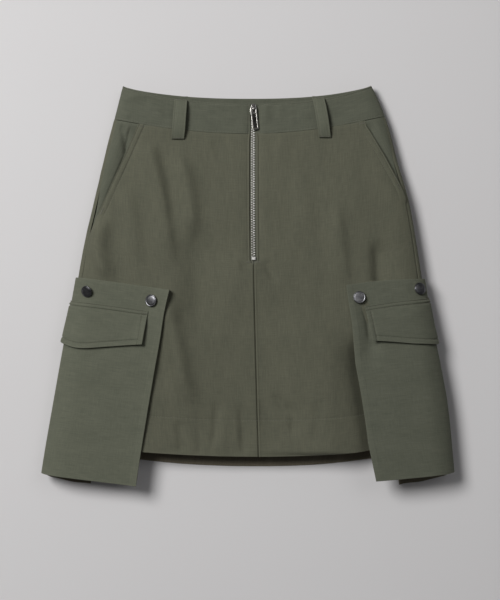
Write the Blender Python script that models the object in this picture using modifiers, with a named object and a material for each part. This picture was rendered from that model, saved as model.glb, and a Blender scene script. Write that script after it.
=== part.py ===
"""A cargo utility skirt in cotton twill, laid on its back, as the pieces that it is cut and sewn from.

Metres, +Z up. The skirt lies on the plane z = 0 with its front upwards and its waist towards +Y, and the
origin is the middle of its footprint. Left (-X) and right (+X) are as seen from above. The cloth is one
hollow shell, flat below and rounded at its side folds, and every cloth piece is a patch of that shell.
"""

import math

import bmesh
import bpy
import numpy as np
from mathutils import Matrix, Vector

MM = 0.001  # every size below is in millimetres
LEFT, RIGHT = -1, 1
SEAM_GAP = 0.3  # between two pieces that are sewn edge to edge
LAID_GAP = 0.35  # between a piece and the one that it lies on

# Walls of cloth
PANEL_WALL = 1.2
HEM_WALL = 2.4
WAISTBAND_WALL = 2.2
CARGO_WALL = 2.0
FLAP_WALL = 1.8
LOOP_WALL = 1.6
TAPE_WALL = 0.9

# Sections across the skirt, from the hem to the waist: how far out the side folds lie, half the thickness
# at the sides, how far in the sides are rounded, how far the middle of the front stands proud of them, and
# how far the sides are held off the surface by the cargo panels' and belt loops' layers under them.
SECTIONS = (
    ("y", "left", "right", "half_depth", "side_round", "crown", "side_lift"),
    (-275, 263.5, 261.0, 17.0, 30, -3.0, 4.8),
    (-218, 255.5, 256.5, 17.0, 30, -3.0, 4.8),
    (-150, 244.3, 249.5, 17.0, 30, -1.5, 4.9),
    (-73, 231.0, 238.5, 17.0, 29, 0.0, 5.1),
    (10, 216.2, 222.0, 16.5, 28, 0.5, 5.4),
    (46, 210.0, 217.5, 16.0, 27, 1.0, 4.8),
    (109, 195.6, 204.0, 15.0, 25, 1.0, 3.4),
    (160, 184.0, 190.5, 13.5, 24, 0.0, 2.7),
    (212, 171.4, 175.5, 12.0, 22, -2.0, 2.5),
    (235, 165.5, 166.0, 11.3, 21, -3.0, 2.5),
    (262, 158.5, 152.5, 11.0, 20, -3.5, 2.5),
)
CENTRE_X = 6.2  # the centre line's place at y = 0, and how it leans to the left on its way up
CENTRE_LEAN = -0.0175
FOOTPRINT_MIDDLE = (0.92, 0.15)  # of the tables' own places, which becomes the origin

# Edges that run round the skirt: their place at the middle of the front and back, and their rise to the
# side folds as a power of the way out. lean lifts the right side fold and lowers the left one.
EDGES = (
    ("edge", "front_y", "front_rise", "front_power", "back_y", "back_rise", "back_power", "lean"),
    ("top", 231.5, 22.5, 2.3, 238.0, 16.0, 2.4, 1.0),
    ("seam", 192.5, 21.0, 1.8, 197.5, 16.0, 1.8, 2.0),
    ("hem", -217.5, 22.0, 2.0, -230.0, 34.5, 2.0, 0.0),
)
FLAT_SHARE = 0.87  # the share of the way from the centre line to the side fold that isn't rounded
SIDE_SEAM = 1.62  # the side seams' girth place: just on the front of each side fold
SEAM_SHARE = 0.008  # of a girth step, from a side seam to the edge of the cloth on either side of it
HEM_DEPTH = 48.0

# The middle of the back lies on the surface, but for the waist, which the belt loops hold off it
SIDE_LIFT_REACH = (82.0, 112.0)  # how far in from the side fold the sides' lift begins and ends to fade
WAIST_LIFT = 2.5
WAIST_LIFT_Y = (145.0, 182.0)

# The largest folds of the front: a soft ridge from one end to the other, bowed sideways at its middle
FOLDS = (
    ("x0", "y0", "x1", "y1", "bow", "width", "height"),
    (-122, 178, -110, 84, 2, 10, 1.6),
    (-88, 176, -66, 92, 3, 10, 1.3),
    (-103, 22, -62, -172, -5, 15, 3.2),
    (110, 112, 120, 40, 1, 10, 1.3),
    (58, -96, 52, -176, 2, 11, 1.2),
    (-38, -150, -36, -232, 0, 9, 1.2),
    (20, -158, 24, -232, 0, 9, 1.0),
    (82, -150, 84, -232, 0, 10, 1.2),
)

# Slanted front pockets: the two ends of the opening's edge, by how far in from the side fold they lie
SLANT = {
    LEFT: {"top_y": 207.0, "top_inset": 33.0, "end_y": 88.0, "end_inset": 6.0},
    RIGHT: {"top_y": 207.0, "top_inset": 29.0, "end_y": 112.0, "end_inset": 4.8},
}
FACING_LAP = 18.0  # how far the facing goes on under the front
FACING_DEPTH = 1.9

# The zip: its slot between the fronts, and its parts
SLOT_HALF = 3.5
SLOT_END_Y = 31.0
SLOT_CLOSED_Y = 26.5
ZIP_LEVEL = -2.6  # the tape's upper face, below the cloth's outer face
TAPE_HALF = 14.0
CHAIN_HALF = 3.0
CHAIN_WALL = 2.0
STOP_SIZE = (5.3, 4.5, 2.4)
HINGE_Y = 223.8
HINGE_HEIGHT = 3.5  # above the cloth's outer face
PULL_TURN = math.radians(7.0)  # how far the pull hangs off the centre line
PULL_DROP = math.radians(4.0)  # and down towards the cloth
PULL_SIZE = (8.4, 26.5, 1.7)
PULL_SLOT_HALF = 2.3
PULL_BAR = 1.8
PULL_FOOT = 3.0
PLATE_SIZE = (8.4, 13.4, 1.4)
STEM_SIZE = (5.2, 10.0, 3.4)
BRIDGE_SIZE = (2.4, 8.6, 5.2)
BRIDGE_BORE = 1.5

# Belt loops
LOOP_WIDTH = 17.0
LOOP_BELOW_SEAM = 12.5
LOOP_ARCH = 2.9
LOOP_PLACES = (
    ("name", "side", "top_girth", "low_girth", "arch"),
    ("front_left", LEFT, 0.605, 0.585, LOOP_ARCH),
    ("front_right", RIGHT, 0.62, 0.6, LOOP_ARCH),
    ("back_left", LEFT, 3.38, 3.4, 0.0),
    ("back_centre", RIGHT, 4.0, 4.0, 0.0),
    ("back_right", RIGHT, 3.38, 3.4, 0.0),
)

# Cargo panels: each wraps a side fold. fold_y is its top edge's place there, lean how far the fold leans,
# lead how far it reaches on to the front, round the shell, and stand how far it stands off the side. Its
# edges slope down from the fold: top_drop, low_drop and back_drop are how much, CARGO_REACH in from it.
CARGO = (
    ("side", "fold_y", "lean", "lead", "width", "height", "stand",
     "top_drop", "top_power", "low_drop", "back_drop"),
    (LEFT, 11.2, math.radians(10.4), 125.5, 194.0, 252.0, 1.0, 14.1, 1.6, 11.9, 28.0),
    (RIGHT, 8.4, math.radians(8.6), 108.5, 182.0, 247.5, 3.0, 9.8, 2.2, 10.3, 31.0),
)
CARGO_REACH = 110.0
CARGO_FLARE = 5.5  # how far its front hangs clear of the skirt, lower down
FLAPS = {LEFT: {"lead": 104.5, "top": 31.0, "slant": 0.0}, RIGHT: {"lead": 92.5, "top": 24.0, "slant": 0.08}}
FLAP_WIDTH = 155.0
FLAP_END_DROP = 44.0
FLAP_POINT_DROP = 60.0
FLAP_FLARE = 1.2
SNAPS = (
    ("side", "name", "round_it", "down"),
    (LEFT, "front", 105.0, 17.5),
    (LEFT, "side", 23.0, 18.0),
    (LEFT, "back", -53.0, 16.0),
    (RIGHT, "front", 95.0, 16.5),
    (RIGHT, "side", 22.0, 12.5),
    (RIGHT, "back", -58.0, 16.0),
)
SNAP_RADIUS = 7.75
SNAP_RISE = 2.6
SNAP_GAP = 0.5  # under a cap, which is flat where the panel below it is bent

CLOTH = {"colour": (0.105, 0.108, 0.078), "roughness": 0.85, "metallic": 0.0}
TAPE = {"colour": (0.085, 0.088, 0.064), "roughness": 0.8, "metallic": 0.0}
NICKEL = {"colour": (0.62, 0.61, 0.58), "roughness": 0.28, "metallic": 1.0}
GUNMETAL = {"colour": (0.12, 0.12, 0.13), "roughness": 0.3, "metallic": 1.0}


def column(table, name):
    place = table[0].index(name)
    return np.array([row[place] for row in table[1:]], float)


def rows_of(table):
    return [dict(zip(table[0], row)) for row in table[1:]]


SECTION = {name: column(SECTIONS, name) for name in SECTIONS[0]}
EDGE = {row["edge"]: row for row in rows_of(EDGES)}
FOLD_ROWS = rows_of(FOLDS)


def smooth_table(at, places, values):
    """A smooth curve through a table's values, straight beyond its ends."""
    slopes = np.gradient(values, places)
    low = np.clip(np.searchsorted(places, at) - 1, 0, len(places) - 2)
    span = places[low + 1] - places[low]
    t = np.clip((at - places[low]) / span, 0.0, 1.0)
    beyond = at - places[low] - t * span
    h00, h10 = 2 * t**3 - 3 * t**2 + 1, t**3 - 2 * t**2 + t
    h01, h11 = -2 * t**3 + 3 * t**2, t**3 - t**2
    ends = h00 * values[low] + h01 * values[low + 1]
    bends = span * (h10 * slopes[low] + h11 * slopes[low + 1])
    return ends + bends + beyond * np.where(beyond > 0, slopes[-1], slopes[0])


def section(name, y):
    return smooth_table(y, SECTION["y"], SECTION[name])


def ramp(at, start, end):
    """0 at start and 1 at end, eased at both."""
    t = np.clip((at - start) / (end - start), 0.0, 1.0)
    return t * t * (3 - 2 * t)


def centre_x(y):
    return CENTRE_X + CENTRE_LEAN * y


def reach_of(side, y):
    """From the centre line out to the side fold."""
    fold = np.where(side > 0, section("right", y), section("left", y))
    return fold - side * centre_x(y)


def slot_half(y):
    """Half the gap between the two fronts: the zip's slot, then a plain seam."""
    return SLOT_HALF + (SEAM_GAP / 2 - SLOT_HALF) * ramp(y, SLOT_END_Y, SLOT_CLOSED_Y)


def fold_height(x, y):
    total = np.zeros_like(x)
    for fold in FOLD_ROWS:
        run = np.array([fold["x1"] - fold["x0"], fold["y1"] - fold["y0"]], float)
        length = math.hypot(*run)
        run /= length
        from_start = np.stack([x - fold["x0"], y - fold["y0"]])
        t = np.clip((from_start[0] * run[0] + from_start[1] * run[1]) / length, 0.0, 1.0)
        sideways = from_start[1] * run[0] - from_start[0] * run[1] - fold["bow"] * 4 * t * (1 - t)
        total += fold["height"] * np.sin(np.pi * t) ** 0.8 * np.exp(-((sideways / fold["width"]) ** 2))
    return total


def lift_of(inset, y):
    """How far the back is held off the surface by the layers under it."""
    middle = WAIST_LIFT * ramp(y, *WAIST_LIFT_Y)
    return middle + (section("side_lift", y) - middle) * (1 - ramp(inset, *SIDE_LIFT_REACH))


def shell(side, girth, y):
    """A point of the skirt's outer face. girth is 0 at the centre front, 1 where the front starts to round
    over, 2 on the side fold, 3 where the back lies flat again and 4 at the centre back."""
    front = girth < 2
    q = np.where(front, girth, 4 - girth)
    reach, side_round, half = reach_of(side, y), section("side_round", y), section("half_depth", y)
    angle = np.clip(2 - q, 0.0, 1.0) * (np.pi / 2)
    slot = np.where(front, slot_half(y), 0.0)
    flat = slot + (reach - side_round - slot) * q
    out = np.where(q < 1, flat, reach - side_round * (1 - np.cos(angle)))
    x = centre_x(y) + side * out
    crown = section("crown", y) * 0.5 * (1 + np.cos(np.pi * np.clip(q, -1.0, 1.0)))
    upper = section("side_lift", y) + half * (1 + np.sin(angle)) + crown
    upper = upper + fold_height(x, y) * (1 - ramp(q, 0.85, 1.15))
    lower = lift_of(reach - out, y) + half * (1 - np.sin(angle))
    return np.stack([x - FOOTPRINT_MIDDLE[0], y - FOOTPRINT_MIDDLE[1], np.where(front, upper, lower)], axis=-1)


def ring(side, girth, y, out=0.0):
    """A point at a distance out from the skirt's outer face, square to it."""
    side, girth, y, out = (np.array(a, float) for a in np.broadcast_arrays(side, girth, y, out))
    round_it = shell(side, girth + 0.02, y) - shell(side, girth - 0.02, y)
    up = shell(side, girth, y + 1.0) - shell(side, girth, y - 1.0)
    normal = np.cross(round_it, up) * side[..., None]
    normal /= np.linalg.norm(normal, axis=-1, keepdims=True)
    return shell(side, girth, y) + normal * out[..., None]


def girth_at(side, out, y):
    """The front's girth place at a distance out from the centre line."""
    reach, side_round, slot = reach_of(side, y), section("side_round", y), slot_half(y)
    past = np.clip((out - reach + side_round) / side_round, 0.0, 1.0)
    flat = (out - slot) / (reach - side_round - slot)
    return np.where(past > 0, 1 + np.arcsin(past) / (np.pi / 2), flat)


def edge_y(name, side, girth):
    """An edge line's place up the skirt."""
    line = EDGE[name]
    q = np.where(girth < 2, girth, 4 - girth)
    rounded = FLAT_SHARE + (1 - FLAT_SHARE) * np.sin(np.clip(q - 1, 0.0, 1.0) * np.pi / 2)
    share = np.where(q < 1, FLAT_SHARE * np.clip(q, 0.0, 1.0), rounded)
    front = line["front_y"] + line["front_rise"] * share ** line["front_power"]
    back = line["back_y"] + line["back_rise"] * share ** line["back_power"]
    return np.where(girth < 2, front, back) + line["lean"] * side * share


def between_edges(side, girth, upper, lower, share):
    top = edge_y(upper, side, girth)
    return top + (edge_y(lower, side, girth) - top) * share


def stations(share, places):
    """The place at a share of the way along a list of places, one share apart."""
    return np.interp(share, np.linspace(0.0, 1.0, len(places)), places)


def steps(*runs):
    """Places from run to run: each run is (start, end, number of steps)."""
    places = [runs[0][0]]
    for start, end, count in runs:
        places += list(np.linspace(start, end, count + 1)[1:])
    return places


def clear_scene():
    for obj in list(bpy.data.objects):
        bpy.data.objects.remove(obj)


def collection(name, hidden=False):
    made = bpy.data.collections.new(name)
    bpy.context.scene.collection.children.link(made)
    made.hide_render = hidden
    return made


def material(name, finish):
    made = bpy.data.materials.new(name)
    made.use_nodes = True
    shader = made.node_tree.nodes["Principled BSDF"]
    shader.inputs["Base Color"].default_value = (*finish["colour"], 1.0)
    shader.inputs["Roughness"].default_value = finish["roughness"]
    shader.inputs["Metallic"].default_value = finish["metallic"]
    return made


def add_object(name, mesh, finish, group):
    data = bpy.data.meshes.new(name)
    mesh.to_mesh(data)
    mesh.free()
    data.materials.append(material(name, finish))
    made = bpy.data.objects.new(name, data)
    group.objects.link(made)
    return made


def sheet(name, group, across, along, place, wall, finish=CLOTH, turned=False, thick_from=None):
    """A piece of cloth: a grid laid out by place(across, along) with its wall on the inner side. From the
    place thick_from of the way along, the wall is a hem's."""
    mesh = bmesh.new()
    bmesh.ops.create_grid(mesh, x_segments=len(across) - 1, y_segments=len(along) - 1, size=0.5)
    spots = np.array([vert.co for vert in mesh.verts]) + 0.5
    points = place(stations(spots[:, 0], across), stations(spots[:, 1], along))
    for vert, point in zip(mesh.verts, points):
        vert.co = Vector(point) * MM
    if turned:
        bmesh.ops.reverse_faces(mesh, faces=mesh.faces)
    made = add_object(name, mesh, finish, group)
    made.data.shade_smooth()
    solid = made.modifiers.new("wall", "SOLIDIFY")
    solid.thickness = wall * MM
    solid.offset = -1.0
    solid.use_even_offset = True
    if thick_from is not None:
        hem = made.vertex_groups.new(name="hem")
        reached = np.nonzero(stations(spots[:, 1], along) > thick_from)[0]
        hem.add([int(i) for i in reached], 1.0, "REPLACE")
        solid.thickness = HEM_WALL * MM
        solid.vertex_group = "hem"
        solid.thickness_vertex_group = wall / HEM_WALL
    return made


def front_rows():
    """Rows down the front, as shares of the way from the waist seam to the hem: close at the zip's end and
    at the hem's stitching."""
    top, low = EDGE["seam"]["front_y"], EDGE["hem"]["front_y"]
    turn = low + HEM_DEPTH
    places = steps(
        (top, SLOT_END_Y, 9),
        (SLOT_END_Y, SLOT_CLOSED_Y, 1),
        (SLOT_CLOSED_Y, turn + 1.0, 9),
        (turn + 1.0, turn - 1.0, 1),
        (turn - 1.0, low, 2),
    )
    return [(top - place) / (top - low) for place in places]


def hem_share(edge_front="front"):
    top, low = EDGE["seam"][edge_front + "_y"], EDGE["hem"][edge_front + "_y"]
    return (top - low - HEM_DEPTH) / (top - low)


def slant_inset(side, y):
    """How far in from the side fold the pocket's opening lies."""
    slant = SLANT[side]
    t = (y - slant["end_y"]) / (slant["top_y"] - slant["end_y"])
    return slant["end_inset"] + (slant["top_inset"] - slant["end_inset"]) * np.clip(t, 0.0, 1.0)


def front_limit(side, y):
    """The girth place where the front ends: the pocket's opening, and below it the side seam."""
    opening = girth_at(side, reach_of(side, y) - slant_inset(side, y), y)
    return np.where(y > SLANT[side]["end_y"], np.minimum(opening, SIDE_SEAM), SIDE_SEAM)


def make_front(side, word, group):
    # 1 is where the rounding starts and 2 is the limit, beside which a narrow step keeps the wall square
    columns = steps((0.0, 1.0, 10), (1.0, 1.94, 5), (1.94, 2.0, 1))

    def place(column, share):
        girth = column * SIDE_SEAM / 2
        for _ in range(3):
            y = between_edges(side, girth, "seam", "hem", share) - SEAM_GAP * (share < 0.001)
            limit = front_limit(side, y) - SEAM_SHARE
            flat = np.minimum(1.0, limit - 0.25)
            girth = np.where(column < 1, column * flat, flat + (column - 1) * (limit - flat))
        return ring(side, girth, y)

    sheet("front_" + word, group, columns, front_rows(), place, PANEL_WALL,
          turned=side > 0, thick_from=hem_share())


def make_facing(side, word, group):
    """The side piece that shows in the slanted opening and goes on under the front."""
    low = SLANT[side]["end_y"] - 12.0

    def place(column, share):
        girth = SIDE_SEAM * np.ones_like(share)
        for _ in range(4):
            top = edge_y("seam", side, girth) - 2 * SEAM_GAP
            y = top + (low - top) * share
            inner = girth_at(side, reach_of(side, y) - slant_inset(side, y) - FACING_LAP, y)
            girth = inner + (SIDE_SEAM - SEAM_SHARE - inner) * column
        q = np.clip(2 - girth, 0.0, 1.0) * np.pi / 2
        inset = np.where(girth < 1, 99.0, section("side_round", y) * (1 - np.cos(q)))
        shown = slant_inset(side, y) - 4.0 - inset
        return ring(side, girth, y, -FACING_DEPTH * (1 - ramp(shown, 0.0, 16.0)))

    sheet("pocket_facing_" + word, group, steps((0.0, 1.0, 8)), steps((0.0, 1.0, 8)), place, PANEL_WALL,
          turned=side > 0)


def whole_round(across):
    """Side and girth of a place on a piece that runs from side seam to side seam round the back: across
    is -1 at the left seam, 0 at the centre back and 1 at the right seam."""
    side = np.where(across < 0, LEFT, RIGHT)
    return side, 4 - np.abs(across)


def make_back(group):
    seam = 4 - SIDE_SEAM - SEAM_SHARE
    half = steps((seam, seam - 0.04, 1), (seam - 0.04, 2.0, 3), (2.0, 1.0, 7), (1.0, 0.82, 1),
                 (0.82, 0.62, 3), (0.62, 0.0, 2))
    columns = [-place for place in half] + half[-2::-1]

    def place(column, share):
        side, girth = whole_round(column)
        y = between_edges(side, girth, "seam", "hem", share) - SEAM_GAP * (share < 0.001)
        return ring(side, girth, y)

    turn = hem_share("back")
    rows = steps((0.0, 0.12, 2), (0.12, 0.36, 2), (0.36, 0.5, 3), (0.5, turn - 0.003, 2),
                 (turn - 0.003, turn + 0.003, 1), (turn + 0.003, 1.0, 1))
    sheet("back", group, columns, rows, place, PANEL_WALL, thick_from=turn)


def make_waistband(group):
    rows = steps((0.0, 1.0, 3))
    for side, word in ((LEFT, "left"), (RIGHT, "right")):

        def place(girth, share, side=side):
            return ring(side, girth, between_edges(side, girth, "top", "seam", share))

        seam = SIDE_SEAM - SEAM_SHARE
        columns = steps((0.0, 1.0, 7), (1.0, seam - 0.04, 4), (seam - 0.04, seam, 1))
        sheet("waistband_front_" + word, group, columns, rows, place, WAISTBAND_WALL, turned=side > 0)

    def place_back(column, share):
        side, girth = whole_round(column)
        return ring(side, girth, between_edges(side, girth, "top", "seam", share))

    seam = 4 - SIDE_SEAM - SEAM_SHARE
    half = steps((seam, seam - 0.04, 1), (seam - 0.04, 2.0, 3), (2.0, 1.0, 6), (1.0, 0.0, 5))
    columns = [-place for place in half] + half[-2::-1]
    sheet("waistband_back", group, columns, rows, place_back, WAISTBAND_WALL)


def make_belt_loop(loop, group):
    side = loop["side"]

    def place(across, share):
        middle = loop["top_girth"] + (loop["low_girth"] - loop["top_girth"]) * share
        top = edge_y("top", side, middle)
        low = edge_y("seam", side, middle) - LOOP_BELOW_SEAM
        y = top + (low - top) * share
        flat = reach_of(side, y) - section("side_round", y)
        rise = LAID_GAP + LOOP_WALL + loop["arch"] * np.sin(np.pi * share) ** 0.6
        toward = np.where(middle < 2, 1, -1)
        return ring(side, middle + toward * across / flat, y, rise)

    sheet("belt_loop_" + loop["name"], group, steps((-LOOP_WIDTH / 2, LOOP_WIDTH / 2, 2)),
          steps((0.0, 0.2, 3), (0.2, 0.8, 3), (0.8, 1.0, 3)), place, LOOP_WALL,
          turned=(side > 0) == (loop["top_girth"] < 2))


def on_front(x, y, out):
    """A point over the centre front, x to the right of the centre line."""
    side = np.where(x < 0, LEFT, RIGHT)
    return ring(side, girth_at(side, np.abs(x), y), y, out)


def make_zip_strip(name, x0, x1, y_top, y_end, level, wall, finish, group):
    rows = steps((y_top, y_end, 12))

    def place(x, y):
        return on_front(x, y, level)

    sheet(name, group, steps((x0, x1, 2)), rows, place, wall, finish, turned=True)


def seat(x, y, out=0.0, turn=0.0):
    """A frame on the centre front in metres: its x across, its y up the skirt and its z outwards."""
    here, right, up = (on_front(np.array(px), np.array(py), np.array(out)) for px, py in
                       ((x, y), (x + 1.0, y), (x, y + 1.0)))
    z_axis = Vector(right - here).cross(Vector(up - here)).normalized()
    y_axis = (Vector(up - here) - z_axis * z_axis.dot(Vector(up - here))).normalized()
    axes = Matrix((y_axis.cross(z_axis), y_axis, z_axis)).transposed().to_4x4()
    return Matrix.Translation(Vector(here) * MM) @ axes @ Matrix.Rotation(turn, 4, "Z")


def box(name, size, centre, finish, group, bevel=0.0):
    mesh = bmesh.new()
    bmesh.ops.create_cube(mesh, size=1.0)
    for vert in mesh.verts:
        vert.co = Vector([c * s * MM for c, s in zip(vert.co, size)]) + Vector(centre) * MM
    made = add_object(name, mesh, finish, group)
    if bevel:
        edge = made.modifiers.new("edge", "BEVEL")
        edge.width, edge.segments = bevel * MM, 1
    return made


def join(target, other, operation):
    cut = target.modifiers.new(operation.lower(), "BOOLEAN")
    cut.operation, cut.object = operation, other


def make_slider(group, helpers):
    """The slider: a plate pointed at its upper end, a stem down through the slot, and a bridge that is
    bored along the pull's hinge."""
    frame = seat(0.0, HINGE_Y)
    plate_top = HINGE_HEIGHT - 1.7
    plate = box("zip_slider", PLATE_SIZE, (0, 0, plate_top - PLATE_SIZE[2] / 2), NICKEL, group)
    for vert in plate.data.vertices:
        if vert.co.y > 0:
            vert.co.x *= 0.35
    stem = box("slider_stem", STEM_SIZE, (0, -0.8, plate_top - PLATE_SIZE[2] / 2 - STEM_SIZE[2] / 2),
               NICKEL, helpers)
    base = plate_top - PLATE_SIZE[2] / 2
    bridge = box("slider_bridge", BRIDGE_SIZE, (0, 0, base + BRIDGE_SIZE[2] / 2), NICKEL, helpers)
    for vert in bridge.data.vertices:
        if vert.co.z > (base + 1.0) * MM:
            vert.co.y *= 0.55
    mesh = bmesh.new()
    bmesh.ops.create_cone(mesh, cap_ends=True, segments=16, radius1=BRIDGE_BORE * MM,
                          radius2=BRIDGE_BORE * MM, depth=12 * MM, matrix=Matrix.Rotation(math.pi / 2, 4, "Y"))
    bore = add_object("bridge_bore", mesh, NICKEL, helpers)
    bore.matrix_world = frame @ Matrix.Translation((0, 0, HINGE_HEIGHT * MM)) @ Matrix.Rotation(PULL_TURN, 4, "Z")
    for made in (plate, stem, bridge):
        made.matrix_world = frame
    join(plate, stem, "UNION")
    join(plate, bridge, "UNION")
    join(plate, bore, "DIFFERENCE")


def make_pull(group, helpers):
    """The pull: a long frame whose upper bar turns in the slider's bridge. Its origin is on the hinge."""
    width, length, thick = PULL_SIZE
    hinge = seat(0.0, HINGE_Y, turn=PULL_TURN) @ Matrix.Translation((0, 0, HINGE_HEIGHT * MM))
    frame = hinge @ Matrix.Rotation(PULL_DROP, 4, "X")
    pull = box("zip_pull", PULL_SIZE, (0, PULL_BAR / 2 - length / 2, 0), NICKEL, group)
    slot_length = length - PULL_BAR - PULL_FOOT
    slot_size = (2 * PULL_SLOT_HALF, slot_length, 3 * thick)
    slot = box("pull_slot", slot_size, (0, -PULL_BAR / 2 - slot_length / 2, 0), NICKEL, helpers)
    for made in (pull, slot):
        made.matrix_world = frame
    join(pull, slot, "DIFFERENCE")


def make_zip(group, helpers):
    """Two tapes under the fronts' edges, the chain in the slot, its stop, the slider and the pull."""
    low = SLOT_CLOSED_Y - 3.0
    top = EDGE["top"]["front_y"] - 1.0
    make_zip_strip("zip_tape_left", -TAPE_HALF, -SEAM_GAP, top, low, ZIP_LEVEL, TAPE_WALL, TAPE, group)
    make_zip_strip("zip_tape_right", SEAM_GAP, TAPE_HALF, top, low, ZIP_LEVEL, TAPE_WALL, TAPE, group)
    stop_y = SLOT_END_Y + 1.2 + STOP_SIZE[1] / 2
    chain_low = stop_y + STOP_SIZE[1] / 2 + SEAM_GAP
    chain_top = HINGE_Y - 0.8 - STEM_SIZE[1] / 2 - SEAM_GAP
    level = ZIP_LEVEL + SEAM_GAP + CHAIN_WALL
    make_zip_strip("zip_chain", -CHAIN_HALF, CHAIN_HALF, chain_top, chain_low, level, CHAIN_WALL, NICKEL, group)
    stop = box("zip_bottom_stop", STOP_SIZE, (0, 0, ZIP_LEVEL + SEAM_GAP + STOP_SIZE[2] / 2), NICKEL, group, 0.5)
    stop.matrix_world = seat(0.0, stop_y)
    make_slider(group, helpers)
    make_pull(group, helpers)


def cargo_place(cargo, round_it, down, out):
    """A point over a cargo panel's cut: round_it is the way round the shell from the side fold, positive
    on the front, and down is the way down the panel."""
    side, share = cargo["side"], down / cargo["height"]
    way, on_front_side = np.abs(round_it), round_it > 0
    low_drop = np.where(on_front_side, cargo["low_drop"], cargo["back_drop"])
    y = cargo["fold_y"] - down * math.cos(cargo["lean"])
    for _ in range(4):
        side_round = section("side_round", y)
        quarter = (np.pi / 2) * np.sqrt((side_round**2 + section("half_depth", y) ** 2) / 2)
        angle = np.clip(way / quarter, 0.0, 1.0) * np.pi / 2
        flat_way = np.clip(way - quarter, 0.0, None)
        reached = (side_round * (1 - np.cos(angle)) + flat_way) / CARGO_REACH
        drop = cargo["top_drop"] * reached ** cargo["top_power"] * (1 - share) + low_drop * reached * share
        y = cargo["fold_y"] - down * math.cos(cargo["lean"]) - drop
    slot = np.where(on_front_side, slot_half(y), 0.0)
    q = np.where(way < quarter, 2 - way / quarter, 1 - flat_way / (reach_of(side, y) - side_round - slot))
    return ring(side, np.where(on_front_side, q, 4 - q), y, out)


def cargo_stand(cargo, round_it, down):
    """How far a cargo panel's inner face is off the skirt: snapped down along its top edge, hanging clear of
    the skirt's front lower down, and resting on the surface at the back."""
    lower = ramp(down, 14.0, 120.0)
    front = CARGO_FLARE * ramp(round_it, -10.0, 45.0) * lower
    fold = cargo["stand"] * np.exp(-((round_it / np.where(round_it > 0, 34.0, 20.0)) ** 2))
    back = 1.9 * ramp(round_it, -28.0, -48.0) * ramp(down, 96.0, 120.0)
    return LAID_GAP + front + fold + back


def make_cargo_panel(cargo, word, group):
    lead, trail = cargo["lead"], cargo["lead"] - cargo["width"]
    columns = steps((lead, 42.0, 5), (42.0, -42.0, 14), (-42.0, trail, 2))
    rows = steps((0.0, 28.0, 2), (28.0, 96.0, 3), (96.0, 120.0, 1), (120.0, cargo["height"], 3))

    def place(round_it, down):
        return cargo_place(cargo, round_it, down, cargo_stand(cargo, round_it, down) + CARGO_WALL)

    sheet("cargo_panel_" + word, group, columns, rows, place, CARGO_WALL, turned=cargo["side"] > 0)


def make_flap(cargo, word, group):
    flap = FLAPS[cargo["side"]]
    lead, trail = flap["lead"], flap["lead"] - FLAP_WIDTH
    middle = (lead + trail) / 2
    columns = steps((lead, 42.0, 4), (42.0, -42.0, 14), (-42.0, trail, 2))

    def place(round_it, share):
        way_out = np.abs(round_it - middle) / (FLAP_WIDTH / 2)
        drop = FLAP_POINT_DROP + (FLAP_END_DROP - FLAP_POINT_DROP) * way_out
        down = flap["top"] + flap["slant"] * np.abs(round_it) + drop * share
        flare = FLAP_FLARE * share**2 * ramp(round_it, -40.0, 10.0)
        rise = cargo_stand(cargo, round_it, down) + CARGO_WALL + LAID_GAP + FLAP_WALL + flare
        return cargo_place(cargo, round_it, down, rise)

    sheet("cargo_flap_" + word, group, columns, steps((0.0, 1.0, 4)), place, FLAP_WALL,
          turned=cargo["side"] > 0)


def cap_mesh(name):
    """A snap's cap: a low dome over a rolled rim, turned from a profile."""
    profile = ((0.0, SNAP_RISE), (3.6, SNAP_RISE - 0.35), (6.2, SNAP_RISE - 1.1), (SNAP_RADIUS, 0.9),
               (SNAP_RADIUS - 0.5, 0.0), (0.0, 0.0))
    mesh = bmesh.new()
    verts = [mesh.verts.new((x * MM, 0.0, z * MM)) for x, z in profile]
    for first, second in zip(verts, verts[1:]):
        mesh.edges.new((first, second))
    data = bpy.data.meshes.new(name)
    mesh.to_mesh(data)
    mesh.free()
    data.materials.append(material(name, GUNMETAL))
    return data


def make_snap(cargo, word, snap, group):
    """A snap cap seated square to the cargo panel's outer face."""
    round_it, down = snap["round_it"], snap["down"]

    def outer(way, drop):
        way, drop = np.array(way), np.array(drop)
        return Vector(cargo_place(cargo, way, drop, cargo_stand(cargo, way, drop) + CARGO_WALL))

    here = outer(round_it, down)
    ahead = (outer(round_it + 2.0, down) - outer(round_it - 2.0, down)).normalized()
    below = outer(round_it, down + 2.0) - outer(round_it, down - 2.0)
    out = ahead.cross(below).normalized() * cargo["side"]
    axes = Matrix((ahead.cross(out), ahead, out)).transposed().to_4x4()
    name = f"snap_{word}_{snap['name']}"
    made = bpy.data.objects.new(name, cap_mesh(name))
    group.objects.link(made)
    made.matrix_world = Matrix.Translation((here + out * SNAP_GAP) * MM) @ axes
    turned = made.modifiers.new("turn", "SCREW")
    turned.steps = turned.render_steps = 18
    turned.merge_threshold = 0.00001
    turned.use_merge_vertices = True
    turned.use_smooth_shade = True
    turned.use_normal_calculate = True


def main():
    clear_scene()
    group = collection("cargo_utility_skirt")
    helpers = collection("cutters", hidden=True)
    for side, word in ((LEFT, "left"), (RIGHT, "right")):
        make_front(side, word, group)
        make_facing(side, word, group)
    make_back(group)
    make_waistband(group)
    for loop in rows_of(LOOP_PLACES):
        make_belt_loop(loop, group)
    make_zip(group, helpers)
    for cargo, word in zip(rows_of(CARGO), ("left", "right")):
        make_cargo_panel(cargo, word, group)
        make_flap(cargo, word, group)
        for snap in rows_of(SNAPS):
            if snap["side"] == cargo["side"]:
                make_snap(cargo, word, snap, group)
    for helper in helpers.objects:
        helper.hide_render = True
        helper.display_type = "WIRE"


main()
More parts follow.
